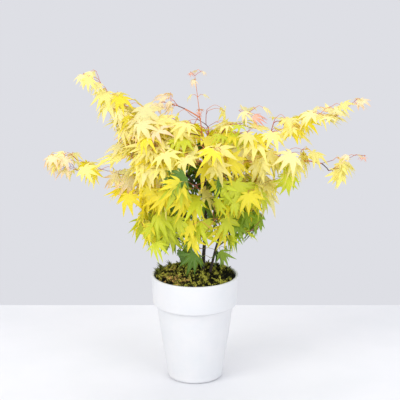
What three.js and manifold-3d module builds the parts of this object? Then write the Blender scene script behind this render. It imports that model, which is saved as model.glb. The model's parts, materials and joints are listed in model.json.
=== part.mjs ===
// A potted Japanese maple in pale autumn tints: a white glazed flowerpot, the growing mix and moss in it,
// a main stem with two side stems, their boughs, and the masses of foliage that the boughs carry.
//
// Units are millimetres and +Z is up. The origin is the centre of the pot's flat underside, and the
// front of the plant faces -Y. A bearing is an angle in degrees about Z, counted from +X towards +Y.

import * as THREE from 'three';
import { mergeVertices } from 'three/addons/utils/BufferGeometryUtils.js';
import Module from 'manifold-3d';

const wasm = await Module();
wasm.setup();

// ---------------------------------------------------------------- driving dimensions

// Clearance between touching pieces, and the wider one that a sloping or faceted wall needs.
const seatGap = 0.3;
const slopeGap = 0.45;

const pot = {
  height: 215,
  rimRadius: 87.5,
  wall: 6,
  floor: 9,
  collarHeight: 60,
  collarFootRadius: 85,
  collarRounding: 4,
  bodyTopRadius: 78,
  baseRadius: 56,
  baseRounding: 7,
  sides: 28,
  roundSteps: 2,
};

const fillHeight = 200;

const moss = {
  edgeHeight: 212,
  edgeRounding: 3,
  crestHeight: 223,
  hummockHeight: 2.2,
  hummockSpan: 12,
  rings: 4,
};

// Stems stand on the growing mix. The tip is where a stem ends in plan, and the bow is how far it swings
// aside.
const stems = {
  trunk: {
    foot: [15, 0], tip: [0, 20], bow: [10, -6], top: 612, steps: 16,
    radius: 4.1, tipRadius: 0.9, flare: 3.6,
  },
  left_stem: {
    foot: [5, 12], tip: [-30, 16], bow: [2, 2], top: 306, steps: 8,
    radius: 2.9, tipRadius: 2.0, flare: 2.2,
  },
  right_stem: {
    foot: [29, -6], tip: [52, -22], bow: [1, 2], top: 312, steps: 8,
    radius: 2.8, tipRadius: 2.0, flare: 2.2,
  },
};
const stemShape = {
  sides: 8,
  overrun: 10,
  straightFoot: 12,
  knots: [0.35, 0.68],
  leanPower: 1.6,
  taperPower: 0.8,
  flareDepth: 9,
};

// The crown's core: rings of masses about the crown's axis, each ring an ellipse in plan. A mass's size is
// its length outwards, its width and its depth, and its tilt raises the outer end.
const crownAxis = [12, 4];
const sides = ['left', 'front', 'right', 'back_right', 'back_left'];
const turnedSides = ['front_left', 'front_right', 'right', 'back', 'left'];
const topSides = ['left', 'right', 'back'];
const rings = [
  {
    name: 'low', height: 320, sides, first: 198, across: 98, along: 70,
    size: [94, 96, 88], tilt: -14, finish: 'lime',
  },
  {
    name: 'middle', height: 394, sides: turnedSides, first: 234, across: 104, along: 84,
    size: [102, 110, 78], tilt: -4, finish: 'lime',
  },
  {
    name: 'upper', height: 464, sides, first: 198, across: 102, along: 84,
    size: [104, 110, 74], tilt: 4, finish: 'gold',
  },
  {
    name: 'top', height: 510, sides: topSides, first: 222, across: 58, along: 46,
    size: [92, 92, 64], tilt: 12, finish: 'gold',
  },
];

// Arms run out from the core, each with masses at their own reaches and heights. A linked mass stands clear
// of the one before it on its arm, and a limb joins the two.
const arms = [
  {
    name: 'upper_left', bearing: 182,
    masses: [
      { part: 'shoulder', reach: 112, height: 503, size: [90, 86, 68], tilt: 30, finish: 'gold' },
      { part: 'fan', reach: 160, height: 553, size: [92, 76, 64], tilt: 35, finish: 'blush' },
      { part: 'tip', reach: 205, height: 606, size: [80, 54, 52], tilt: 30, finish: 'blush' },
    ],
  },
  {
    name: 'lower_left', bearing: 180,
    masses: [
      { part: 'shoulder', reach: 146, height: 404, size: [86, 76, 72], tilt: 6, finish: 'gold' },
      { part: 'fan', reach: 206, height: 424, size: [70, 56, 52], tilt: 14, finish: 'gold' },
      { part: 'tip', reach: 262, height: 436, size: [68, 48, 48], tilt: -8, finish: 'blush' },
    ],
  },
  {
    name: 'upper_right', bearing: 2,
    masses: [
      { part: 'shoulder', reach: 170, height: 510, size: [112, 76, 56], tilt: 10, finish: 'gold' },
      { part: 'fan', reach: 248, height: 533, size: [84, 52, 46], tilt: 16, finish: 'gold' },
      { part: 'tip', reach: 299, height: 559, size: [50, 32, 32], tilt: 30, finish: 'blush' },
    ],
  },
  {
    name: 'lower_right', bearing: 355,
    masses: [
      { part: 'shoulder', reach: 166, height: 454, size: [92, 84, 78], tilt: -6, finish: 'gold' },
      { part: 'fan', reach: 262, height: 439, size: [66, 52, 52], tilt: 6, finish: 'blush', linked: true },
      { part: 'tip', reach: 302, height: 458, size: [50, 38, 36], tilt: 14, finish: 'blush' },
    ],
  },
  {
    name: 'front', bearing: 262,
    masses: [
      { part: 'fan', reach: 150, height: 432, size: [92, 92, 52], tilt: -8, finish: 'gold' },
    ],
  },
  {
    name: 'back', bearing: 84,
    masses: [
      { part: 'shoulder', reach: 136, height: 500, size: [92, 92, 54], tilt: 12, finish: 'gold' },
      { part: 'fan', reach: 184, height: 426, size: [92, 92, 50], tilt: -8, finish: 'gold', linked: true },
    ],
  },
];

// Small sprays apart from the arms: at the stem's tip, along the top, at the right and just above the moss.
const sprays = [
  { name: 'leader_tuft', bearing: 112, reach: 22, height: 618, size: [36, 30, 26], tilt: 0, finish: 'blush' },
  { name: 'top_sprig', bearing: 152, reach: 66, height: 556, size: [84, 56, 46], tilt: 8, finish: 'gold' },
  { name: 'crest_sprig', bearing: 10, reach: 92, height: 538, size: [66, 54, 50], tilt: 10, finish: 'blush' },
  { name: 'side_sprig', bearing: 354, reach: 180, height: 398, size: [38, 34, 66], tilt: 0, finish: 'lime' },
  { name: 'foot_left', bearing: 236, reach: 23, height: 268, size: [52, 40, 42], tilt: -10, finish: 'lime' },
  { name: 'foot_right', bearing: 352, reach: 38, height: 258, size: [42, 34, 34], tilt: -6, finish: 'lime' },
];

// Every mass is a ball swollen by knobs. Those above the large size have finer faces.
const massShape = {
  knobs: 7,
  knobHeight: 0.22,
  knobSharpness: 4,
  knobLift: 0.25,
  base: 0.8,
  underside: 0.8,
  droop: 0.16,
  largeSize: 92,
};

// Each bough leaves a stem at its root height and ends where it enters its mass.
const boughs = [
  { to: 'upper_left_shoulder', from: 'trunk', root: 376, radius: 2.2, tipRadius: 1.4 },
  { to: 'lower_left_shoulder', from: 'trunk', root: 334, radius: 2.0, tipRadius: 1.3 },
  { to: 'upper_right_shoulder', from: 'trunk', root: 410, radius: 2.0, tipRadius: 1.3 },
  { to: 'lower_right_shoulder', from: 'trunk', root: 358, radius: 2.0, tipRadius: 1.3 },
  { to: 'middle_front_left', from: 'trunk', root: 348, radius: 1.7, tipRadius: 1.1 },
  { to: 'middle_front_right', from: 'trunk', root: 352, radius: 1.7, tipRadius: 1.1 },
  { to: 'middle_back', from: 'trunk', root: 340, radius: 1.8, tipRadius: 1.2 },
  { to: 'back_shoulder', from: 'trunk', root: 396, radius: 1.8, tipRadius: 1.2 },
  { to: 'top_right', from: 'trunk', root: 448, radius: 1.6, tipRadius: 1.1 },
  { to: 'top_sprig', from: 'trunk', root: 530, radius: 1.3, tipRadius: 1.0 },
  { to: 'low_left', from: 'left_stem', root: 268, radius: 1.6, tipRadius: 1.1 },
  { to: 'low_front', from: 'trunk', root: 276, radius: 1.6, tipRadius: 1.1 },
  { to: 'low_right', from: 'right_stem', root: 272, radius: 1.6, tipRadius: 1.1 },
];
const link = { radius: 1.3, tipRadius: 1.0 };
const boughShape = { sides: 6, steps: 4, bend: 0.45, rise: 0.06 };

// ---------------------------------------------------------------- finishes

function finish(name, color, roughness) {
  return new THREE.MeshStandardMaterial({ name, color, roughness, metalness: 0 });
}

const finishes = {
  glaze: finish('white_glaze', 0xf4f4f6, 0.38),
  mix: finish('growing_mix', 0x3a2a1d, 0.95),
  moss: finish('moss', 0x6e6a22, 0.95),
  bark: finish('bark', 0x4a3426, 0.8),
  gold: finish('gold_foliage', 0xf2dc3c, 0.6),
  lime: finish('lime_foliage', 0xb8c83a, 0.6),
  blush: finish('blush_foliage', 0xf3cfa0, 0.6),
};

// ---------------------------------------------------------------- helpers

const { degToRad, lerp, mapLinear } = THREE.MathUtils;
const weldTolerance = 1e-4;
const randomRange = 2 ** 32;
const randomMultiplier = 1664525;
const randomStep = 1013904223;

// A repeatable stream of numbers from 0 to 1.
function randomStream(seed) {
  let state = seed * randomStep % randomRange;
  return function next() {
    state = (state * randomMultiplier + randomStep) % randomRange;
    return state / randomRange;
  };
}

// A place in the crown, on an ellipse about its axis.
function polar(bearing, across, along, height) {
  const angle = degToRad(bearing);
  const [x, y] = crownAxis;
  return new THREE.Vector3(x + across * Math.cos(angle), y + along * Math.sin(angle), height);
}

// Keeps only positions, with the vertices that faces share merged.
function weld(geometry) {
  const bare = geometry.index ? geometry.toNonIndexed() : geometry.clone();
  bare.deleteAttribute('normal');
  bare.deleteAttribute('uv');
  return mergeVertices(bare, weldTolerance);
}

function toSolid(geometry) {
  const welded = weld(geometry);
  return new wasm.Manifold(new wasm.Mesh({
    numProp: 3,
    vertProperties: new Float32Array(welded.attributes.position.array),
    triVerts: new Uint32Array(welded.index.array),
  }));
}

function toGeometry(solid) {
  const mesh = solid.getMesh();
  const geometry = new THREE.BufferGeometry();
  geometry.setAttribute('position', new THREE.BufferAttribute(new Float32Array(mesh.vertProperties), 3));
  geometry.setIndex(new THREE.BufferAttribute(new Uint32Array(mesh.triVerts), 1));
  geometry.computeVertexNormals();
  return geometry;
}

// The largest of the bodies that a cut leaves.
function largestBody(solid) {
  return solid.decompose().reduce((best, body) => (body.volume() > best.volume() ? body : best));
}

// Moves every vertex of a welded geometry to the place that the given function works out.
function reshape(geometry, place) {
  const position = geometry.attributes.position;
  const spot = new THREE.Vector3();
  for (let i = 0; i < position.count; i += 1) {
    spot.fromBufferAttribute(position, i);
    place(spot, i);
    position.setXYZ(i, spot.x, spot.y, spot.z);
  }
  return geometry;
}

// Grows a shape along its normals, to make the space that a neighbour keeps clear.
function grown(geometry, distance) {
  const welded = weld(geometry);
  welded.computeVertexNormals();
  const normal = new THREE.Vector3();
  return reshape(welded, (spot, i) => {
    normal.fromBufferAttribute(welded.attributes.normal, i);
    spot.addScaledVector(normal, distance);
  });
}

// ---------------------------------------------------------------- pot, growing mix and moss

const collarFoot = pot.height - pot.collarHeight;
const roundedFootTop = collarFoot + pot.collarRounding;
const lip = pot.wall / 2;
const innerRim = pot.rimRadius - pot.wall;
const innerCollarFoot = pot.collarFootRadius - pot.wall;
const innerBodyTop = pot.bodyTopRadius - pot.wall;
const innerBase = pot.baseRadius - pot.wall;
const innerStepTop = collarFoot + pot.wall;
const innerStepFoot = collarFoot - lip;

function lathe(outline) {
  const geometry = new THREE.LatheGeometry(outline.getPoints(pot.roundSteps), pot.sides);
  geometry.rotateX(Math.PI / 2);
  return geometry;
}

// The pot's section: underside, body, stepped collar, rounded lip, then down the inside to the floor.
function potOutline() {
  const outline = new THREE.Path();
  outline.moveTo(0, 0);
  outline.lineTo(pot.baseRadius - pot.baseRounding, 0);
  outline.quadraticCurveTo(pot.baseRadius, 0, pot.baseRadius, pot.baseRounding);
  outline.lineTo(pot.bodyTopRadius, collarFoot);
  outline.lineTo(pot.collarFootRadius - pot.collarRounding, collarFoot);
  outline.quadraticCurveTo(pot.collarFootRadius, collarFoot, pot.collarFootRadius, roundedFootTop);
  outline.lineTo(pot.rimRadius, pot.height - lip);
  outline.quadraticCurveTo(pot.rimRadius, pot.height, pot.rimRadius - lip, pot.height);
  outline.quadraticCurveTo(innerRim, pot.height, innerRim, pot.height - lip);
  outline.lineTo(innerCollarFoot, innerStepTop);
  outline.lineTo(innerBodyTop, innerStepFoot);
  outline.lineTo(innerBase, pot.floor);
  outline.lineTo(0, pot.floor);
  return outline;
}

// The collar's inner wall narrows downwards.
function innerRadiusAt(height) {
  return mapLinear(height, innerStepTop, pot.height, innerCollarFoot, innerRim);
}

function mixOutline() {
  const outline = new THREE.Path();
  outline.moveTo(0, pot.floor + seatGap);
  outline.lineTo(innerBase - slopeGap, pot.floor + seatGap);
  outline.lineTo(innerBodyTop - slopeGap, innerStepFoot + seatGap);
  outline.lineTo(innerCollarFoot - slopeGap, innerStepTop + seatGap);
  outline.lineTo(innerRadiusAt(fillHeight) - slopeGap, fillHeight);
  outline.lineTo(0, fillHeight);
  return outline;
}

// A shallow mound over the growing mix, level with the rim at its edge and humped between the stems.
function mossMound() {
  const foot = fillHeight + seatGap;
  const wallTop = moss.edgeHeight - moss.edgeRounding;
  const topRadius = innerRim - moss.edgeRounding;
  const outline = new THREE.Path();
  outline.moveTo(0, foot);
  outline.lineTo(innerRadiusAt(foot) - slopeGap, foot);
  outline.lineTo(innerRadiusAt(wallTop) - slopeGap, wallTop);
  for (let ring = moss.rings; ring >= 0; ring -= 1) {
    const share = ring / moss.rings;
    outline.lineTo(share * topRadius, lerp(moss.crestHeight, moss.edgeHeight, share ** 2));
  }
  return reshape(weld(lathe(outline)), (spot) => {
    if (spot.z > wallTop) {
      const across = Math.sin(spot.x / moss.hummockSpan + 1);
      const along = Math.cos(spot.y / moss.hummockSpan - 1);
      spot.z += moss.hummockHeight * across * along;
    }
  });
}

// ---------------------------------------------------------------- stems and boughs

// A tapering limb: a capped cylinder bent along a curve, with its radius given along the way.
function limb(curve, radiusAt, shape, extra = 0) {
  const geometry = weld(new THREE.CylinderGeometry(1, 1, 1, shape.sides, shape.steps));
  const frames = curve.computeFrenetFrames(shape.steps, false);
  const centre = new THREE.Vector3();
  return reshape(geometry, (spot) => {
    const share = spot.y + 0.5;
    const ring = Math.round(share * shape.steps);
    const radius = radiusAt(share) + extra;
    const overrun = ring === 0 ? -extra : (ring === shape.steps) * extra;
    curve.getPointAt(share, centre);
    centre.addScaledVector(frames.normals[ring], spot.x * radius);
    centre.addScaledVector(frames.binormals[ring], -spot.z * radius);
    centre.addScaledVector(frames.tangents[ring], overrun);
    spot.copy(centre);
  });
}

// A stem's centre line starts below the top of the mix, where the ground block cuts it flat.
const stemStart = fillHeight - stemShape.overrun;

function stemCurve({ foot, tip, bow, top }) {
  const middle = stemShape.knots.map((share) => {
    const lean = share ** stemShape.leanPower;
    const swing = Math.sin(share * Math.PI);
    return new THREE.Vector3(
      lerp(foot[0], tip[0], lean) + bow[0] * swing,
      lerp(foot[1], tip[1], lean) + bow[1] * swing,
      lerp(fillHeight, top, share),
    );
  });
  return new THREE.CatmullRomCurve3([
    new THREE.Vector3(foot[0], foot[1], stemStart),
    new THREE.Vector3(foot[0], foot[1], fillHeight + stemShape.straightFoot),
    ...middle,
    new THREE.Vector3(tip[0], tip[1], top),
  ]);
}

function stemRadius({ radius, tipRadius, flare, top }) {
  return (share) => {
    const height = Math.max(0, share * (top - stemStart) - stemShape.overrun);
    const spread = flare * Math.exp(-height / stemShape.flareDepth);
    return lerp(radius, tipRadius, share ** stemShape.taperPower) + spread;
  };
}

// Everything below the top of the growing mix, cut off the stems to leave them a flat foot.
function groundBlock() {
  const side = 2 * pot.rimRadius;
  const block = new THREE.BoxGeometry(side, side, fillHeight);
  block.translate(0, 0, fillHeight / 2 + seatGap);
  return toSolid(block);
}

function pointAtHeight(curve, height) {
  const away = (spot) => Math.abs(spot.z - height);
  return curve.getSpacedPoints(pot.height).reduce((best, spot) => (away(spot) < away(best) ? spot : best));
}

function boughCurve(start, end) {
  const middle = start.clone().lerp(end, boughShape.bend);
  middle.z += boughShape.rise * start.distanceTo(end);
  return new THREE.QuadraticBezierCurve3(start, middle, end);
}

// ---------------------------------------------------------------- masses of foliage

// One uneven mass: a ball drawn out along its arm, with seeded knobs, a flatter underside and a drooping rim.
function foliageMass({ centre, size, bearing, tilt }, seed) {
  const detail = Math.max(...size) > massShape.largeSize ? 2 : 1;
  const random = randomStream(seed);
  const knobs = Array.from({ length: massShape.knobs }, () => new THREE.Vector3(
    random() * 2 - 1,
    random() * 2 - 1,
    random() * 2 - 1 + massShape.knobLift,
  ).normalize());
  const turn = new THREE.Matrix4().makeRotationZ(degToRad(bearing));
  turn.multiply(new THREE.Matrix4().makeRotationY(degToRad(-tilt)));
  const halfSize = new THREE.Vector3(...size).multiplyScalar(0.5);
  const sharpness = massShape.knobSharpness;
  return reshape(weld(new THREE.IcosahedronGeometry(1, detail)), (spot) => {
    const swell = knobs.reduce((sum, knob) => sum + Math.max(0, spot.dot(knob)) ** sharpness, 0);
    const sag = massShape.droop * (spot.x ** 2 + spot.y ** 2 - 0.5);
    spot.multiplyScalar(massShape.base + massShape.knobHeight * swell);
    spot.z = (spot.z < 0 ? spot.z * massShape.underside : spot.z) - sag;
    spot.multiply(halfSize).applyMatrix4(turn).add(centre);
  });
}

function ringMasses() {
  return rings.flatMap((ring) => ring.sides.map((side, index) => {
    const bearing = (ring.first + index * 360 / ring.sides.length) % 360;
    const centre = polar(bearing, ring.across, ring.along, ring.height);
    return { ...ring, name: `${ring.name}_${side}`, centre, bearing };
  }));
}

function armMasses() {
  return arms.flatMap(({ name, bearing, masses }) => masses.map((mass) => ({
    ...mass,
    name: `${name}_${mass.part}`,
    bearing,
    centre: polar(bearing, mass.reach, mass.reach, mass.height),
  })));
}

function sprayMasses() {
  return sprays.map((spray) => ({
    ...spray,
    centre: polar(spray.bearing, spray.reach, spray.reach, spray.height),
  }));
}

// ---------------------------------------------------------------- the plant

const group = new THREE.Group();

// The space that stems and masses take with their clearance, which later pieces are cut by.
const taken = [];

function addPiece(name, solid, material) {
  const mesh = new THREE.Mesh(toGeometry(solid), material);
  mesh.name = name;
  group.add(mesh);
}

function keepClear(solid) {
  taken.push({ solid, ...solid.boundingBox() });
}

function cutByNeighbours(solid) {
  const { min, max } = solid.boundingBox();
  const meets = (other) => [0, 1, 2].every((k) => other.min[k] < max[k] && other.max[k] > min[k]);
  const near = taken.filter(meets);
  return near.reduce((rest, other) => rest.subtract(other.solid), solid);
}

addPiece('pot', toSolid(lathe(potOutline())), finishes.glaze);
addPiece('growing_mix', toSolid(lathe(mixOutline())), finishes.mix);

const ground = groundBlock();
const curves = {};
for (const [name, stem] of Object.entries(stems)) {
  const shape = { sides: stemShape.sides, steps: stem.steps };
  curves[name] = stemCurve(stem);
  addPiece(name, toSolid(limb(curves[name], stemRadius(stem), shape)).subtract(ground), finishes.bark);
  keepClear(toSolid(limb(curves[name], stemRadius(stem), shape, seatGap)));
}
addPiece('moss', largestBody(cutByNeighbours(toSolid(mossMound()))), finishes.moss);

const masses = [...armMasses(), ...sprayMasses(), ...ringMasses()];
masses.forEach((mass, index) => {
  const shape = foliageMass(mass, index + 1);
  addPiece(`foliage_${mass.name}`, largestBody(cutByNeighbours(toSolid(shape))), finishes[mass.finish]);
  keepClear(toSolid(grown(shape, slopeGap)));
});

function centreOf(name) {
  return masses.find((mass) => mass.name === name).centre;
}

// The free stretch of a limb between two places, after its neighbours have cut it.
function freeLimb(start, end, { radius, tipRadius }) {
  const radiusAt = (share) => lerp(radius, tipRadius, share);
  return largestBody(cutByNeighbours(toSolid(limb(boughCurve(start, end), radiusAt, boughShape))));
}

for (const bough of boughs) {
  const start = pointAtHeight(curves[bough.from], bough.root);
  addPiece(`bough_${bough.to}`, freeLimb(start, centreOf(bough.to), bough), finishes.bark);
}

for (const { name, masses: parts } of arms) {
  for (let i = 1; i < parts.length; i += 1) {
    if (parts[i].linked) {
      const start = centreOf(`${name}_${parts[i - 1].part}`);
      const end = centreOf(`${name}_${parts[i].part}`);
      addPiece(`bough_${name}_${parts[i].part}`, freeLimb(start, end, link), finishes.bark);
    }
  }
}

export default group;
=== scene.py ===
"""The looks of a potted japanese maple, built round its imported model.

A satin white pot with a tall collar is filled with growing mix under a bed of moss. Three dark stems rise
from the moss, fork into boughs and then twigs, and the twigs hold pairs of palmate leaves on thin stalks.
Everything is in metres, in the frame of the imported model.
"""

import json
import logging
import math
import random
from collections import Counter
from contextlib import contextmanager
from dataclasses import dataclass, field
from enum import Enum
from typing import Any, Iterable, Iterator, Sequence

import bpy
import numpy as np
from mathutils import Euler, Matrix, Vector, noise
from mathutils.bvhtree import BVHTree

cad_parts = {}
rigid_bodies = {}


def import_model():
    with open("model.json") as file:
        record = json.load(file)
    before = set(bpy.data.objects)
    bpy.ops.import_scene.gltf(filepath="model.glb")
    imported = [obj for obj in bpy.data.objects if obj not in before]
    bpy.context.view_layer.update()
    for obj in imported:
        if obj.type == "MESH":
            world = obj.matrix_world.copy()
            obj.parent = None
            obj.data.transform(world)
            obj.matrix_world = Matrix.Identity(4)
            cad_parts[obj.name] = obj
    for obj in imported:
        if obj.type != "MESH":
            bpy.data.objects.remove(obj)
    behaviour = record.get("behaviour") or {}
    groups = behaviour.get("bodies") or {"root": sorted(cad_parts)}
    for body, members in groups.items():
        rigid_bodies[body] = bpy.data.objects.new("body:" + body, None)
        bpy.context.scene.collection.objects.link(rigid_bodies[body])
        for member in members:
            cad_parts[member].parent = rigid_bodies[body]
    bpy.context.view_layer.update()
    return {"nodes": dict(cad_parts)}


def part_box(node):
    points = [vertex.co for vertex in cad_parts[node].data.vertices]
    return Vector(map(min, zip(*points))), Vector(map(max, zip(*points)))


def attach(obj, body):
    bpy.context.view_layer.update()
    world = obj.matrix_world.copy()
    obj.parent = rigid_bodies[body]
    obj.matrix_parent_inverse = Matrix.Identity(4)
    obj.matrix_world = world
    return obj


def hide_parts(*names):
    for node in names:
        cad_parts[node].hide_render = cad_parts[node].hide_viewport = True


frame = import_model()

LOG = logging.getLogger("maple")
UP = Vector((0.0, 0.0, 1.0))
NEVER = (9.0, 10.0)
Colour = tuple[float, float, float, float]
Pair = tuple[float, float]
Line = tuple[list[Vector], list[float]]
Triple = tuple[float, float, float]
Socket = bpy.types.NodeSocket
Tree = bpy.types.NodeTree
Piece = bpy.types.Object


def paint(red: int, green: int, blue: int) -> Colour:
    """The linear colour of a display colour whose channels go from 0 to 255."""
    shares = (red / 255, green / 255, blue / 255)
    return (*(s / 12.92 if s <= 0.04045 else ((s + 0.055) / 1.055) ** 2.4 for s in shares), 1.0)


def unit(way: Vector) -> Vector:
    """The direction of a vector, or straight up where it has none."""
    return way.normalized() if way.length > 1e-9 else UP.copy()


def heading(angle: float) -> Vector:
    """The level direction at an angle in radians from X."""
    return Vector((math.cos(angle), math.sin(angle), 0))


def table(places: Iterable[Vector]) -> np.ndarray:
    """Places as rows of a table."""
    return np.array([tuple(place) for place in places])


def link_mesh(name: str, mesh: bpy.types.Mesh) -> Piece:
    """Puts a mesh in the scene under a name, at the origin.

    Args:
        name: The object's name.
        mesh: The mesh.

    Returns:
        The new object.
    """
    mesh.name = name
    piece = bpy.data.objects.new(name, mesh)
    bpy.context.scene.collection.objects.link(piece)
    return piece


def mesh_of(name: str, points: Iterable[Sequence[float]], edges: list, faces: list,
            smooth: bool = False) -> bpy.types.Mesh:
    """A mesh from plain lists.

    Args:
        name: The mesh's name.
        points: The corner places.
        edges: Pairs of corners, or an empty list.
        faces: Loops of corners, or an empty list.
        smooth: True where its faces are shaded as one smooth skin.

    Returns:
        The mesh.
    """
    mesh = bpy.data.meshes.new(name)
    mesh.from_pydata([tuple(p) for p in points], edges, faces)
    mesh.polygons.foreach_set("use_smooth", [smooth] * len(faces))
    mesh.update()
    return mesh


def ring(reach: float, sides: int, shift: float = 0.0) -> list[Pair]:
    """Points on a circle about Z, turned on by a shift in steps, or the one point at its middle."""
    angles = [2 * math.pi * (i + shift) / sides for i in range(1 if reach == 0.0 else sides)]
    return [(reach * math.cos(angle), reach * math.sin(angle)) for angle in angles]


def turned_skin(name: str, rings: list[list[Triple]], downwards: bool) -> Piece:
    """A smooth closed skin through rings of points.

    Args:
        name: The object's name.
        rings: The rings of points.
        downwards: True where the rings run down the outside.

    Returns:
        The object.
    """
    corners, rows, faces = [], [], []
    sides = max(len(points) for points in rings)
    for points in rings:
        rows.append([len(corners) + i % len(points) for i in range(sides + 1)])
        corners += points
    for one, two in zip(rows, rows[1:]):
        for i in range(sides):
            loop = (one[i], two[i], two[i + 1], one[i + 1])
            faces.append(tuple(dict.fromkeys(loop if downwards else (loop[0], loop[3], loop[2], loop[1]))))
    return link_mesh(name, mesh_of(name, corners, [], faces, smooth=True))


def write_numbers(mesh: bpy.types.Mesh, name: str, values: Sequence, kind: str = "FLOAT") -> None:
    """Stores one value for each corner of a mesh.

    Args:
        mesh: The mesh.
        name: The attribute's name.
        values: One number, or one vector, for each corner.
        kind: FLOAT, INT or FLOAT_VECTOR.
    """
    store = mesh.attributes.new(name, kind, "POINT")
    flat = np.asarray(values, dtype=np.int32 if kind == "INT" else np.float32).ravel()
    store.data.foreach_set("vector" if kind == "FLOAT_VECTOR" else "value", flat)


@dataclass
class Draft:
    """A node tree while it is put together.

    Attributes:
        tree: The shader or geometry tree.
    """

    tree: Tree

    def feed(self, node: bpy.types.Node, feeds: dict[Any, Any]) -> None:
        """Feeds a node's inputs.

        Args:
            node: The node.
            feeds: For each input, by name or number, a plain value or the socket that feeds it.
        """
        for key, value in feeds.items():
            if isinstance(value, Socket):
                self.tree.links.new(value, node.inputs[key])
            else:
                node.inputs[key].default_value = value

    def add(self, kind: str, feeds: dict[Any, Any] | None = None, **settings: Any) -> bpy.types.Node:
        """Adds a node, sets it up and feeds its inputs.

        Args:
            kind: The node's type name.
            feeds: What feeds its inputs.
            **settings: The node's own properties.

        Returns:
            The new node.
        """
        node = self.tree.nodes.new(kind)
        for key, value in settings.items():
            setattr(node, key, value)
        self.feed(node, feeds or {})
        return node

    def maths(self, operation: str, first: Any, second: Any = 0.0) -> Socket:
        """One sum of two numbers."""
        return self.add("ShaderNodeMath", {0: first, 1: second}, operation=operation).outputs[0]

    def spread(self, value: Any, low: float, high: float, to_low: float = 0.0,
               to_high: float = 1.0) -> Socket:
        """Maps a number from one range to another, held inside it."""
        feeds = {"Value": value, "From Min": low, "From Max": high, "To Min": to_low, "To Max": to_high}
        return self.add("ShaderNodeMapRange", feeds).outputs["Result"]

    def blend(self, share: Any, first: Any, second: Any) -> Socket:
        """A mix of two colours, with a share of the second."""
        return self.add("ShaderNodeMix", {0: share, 6: first, 7: second}, data_type="RGBA").outputs[2]

    def place(self) -> Socket:
        """The place on the piece, in its own coordinates."""
        return self.add("ShaderNodeTexCoord").outputs["Object"]

    def grain(self, scale: float, detail: float, stretch: Triple = (1.0, 1.0, 1.0)) -> Socket:
        """Noise that stays with the piece, with so many grains to a metre."""
        scaled = self.add("ShaderNodeMapping", {"Vector": self.place(), "Scale": stretch}).outputs[0]
        return self.add("ShaderNodeTexNoise", {"Vector": scaled, "Scale": scale, "Detail": detail}).outputs[0]

    def height(self, value: Any, depth: float, strength: float) -> Socket:
        """The normal of a relief whose height goes from 0 to 1, of a depth in metres."""
        values = {"Height": value, "Distance": depth, "Strength": strength}
        return self.add("ShaderNodeBump", values).outputs[0]


class Surface(Draft):
    """A material while it is put together.

    Attributes:
        material: The material.
        shader: Its surface shader.
        output: Its output.
    """

    def __init__(self, name: str) -> None:
        """Starts the material.

        Args:
            name: Its name.
        """
        self.material = bpy.data.materials.new(name)
        self.material.use_nodes = True
        super().__init__(self.material.node_tree)
        self.tree.nodes.clear()
        self.shader = self.add("ShaderNodeBsdfPrincipled")
        self.output = self.add("ShaderNodeOutputMaterial", {"Surface": self.shader.outputs[0]})

    def wear(self, colour: Socket, rough: Socket, **looks: Any) -> bpy.types.Material:
        """Feeds the surface shader.

        Args:
            colour: The base colour.
            rough: The roughness.
            **looks: What feeds other inputs, by name with _ for a blank.

        Returns:
            The material.
        """
        self.feed(self.shader, {"Base Color": colour, "Roughness": rough})
        self.feed(self.shader, {name.replace("_", " "): value for name, value in looks.items()})
        return self.material


@dataclass(frozen=True)
class GlazeFinish:
    """A satin white glaze with the faintest mottle, and dips where it ran.

    Attributes:
        bright: The colour where the glaze is thick.
        thin: The colour where it is thinner.
        coat: How much clear gloss lies on top.
    """

    bright: Colour = paint(222, 222, 223)
    thin: Colour = paint(217, 219, 221)
    coat: float = 0.22

    def make(self) -> bpy.types.Material:
        """Builds the material.

        Returns:
            The material.
        """
        draft = Surface("satin_white_glaze")
        speck = draft.grain(900.0, 2.0)
        cloud = draft.spread(draft.grain(26.0, 4.0), 0.35, 0.7)
        wave = draft.grain(38.0, 1.0, (1.0, 1.0, 2.4))
        ripple = draft.maths("ADD", wave, draft.maths("MULTIPLY", speck, 0.06))
        rough = draft.spread(speck, 0.3, 0.7, 0.36, 0.46)
        return draft.wear(draft.blend(cloud, self.bright, self.thin), rough, Coat_Weight=self.coat,
                          Coat_Roughness=0.24, Normal=draft.height(ripple, 0.0012, 0.22))


@dataclass(frozen=True)
class EarthFinish:
    """A crumbly matt surface in two colours, for growing mix and moss.

    Attributes:
        name: The material's name.
        deep: The colour of its hollows.
        light: The colour of its crests.
        grains: How many grains there are to a metre.
        depth: The depth of its relief in metres.
    """

    name: str
    deep: Colour
    light: Colour
    grains: float = 420.0
    depth: float = 0.0012

    def make(self) -> bpy.types.Material:
        """Builds the material.

        Returns:
            The material.
        """
        draft = Surface(self.name)
        crumb = draft.grain(self.grains, 4.0)
        colour = draft.blend(draft.spread(crumb, 0.36, 0.66), self.deep, self.light)
        return draft.wear(colour, draft.spread(crumb, 0.3, 0.7, 0.97, 0.82), Specular_IOR_Level=0.25,
                          Normal=draft.height(crumb, self.depth, 0.6))


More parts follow.
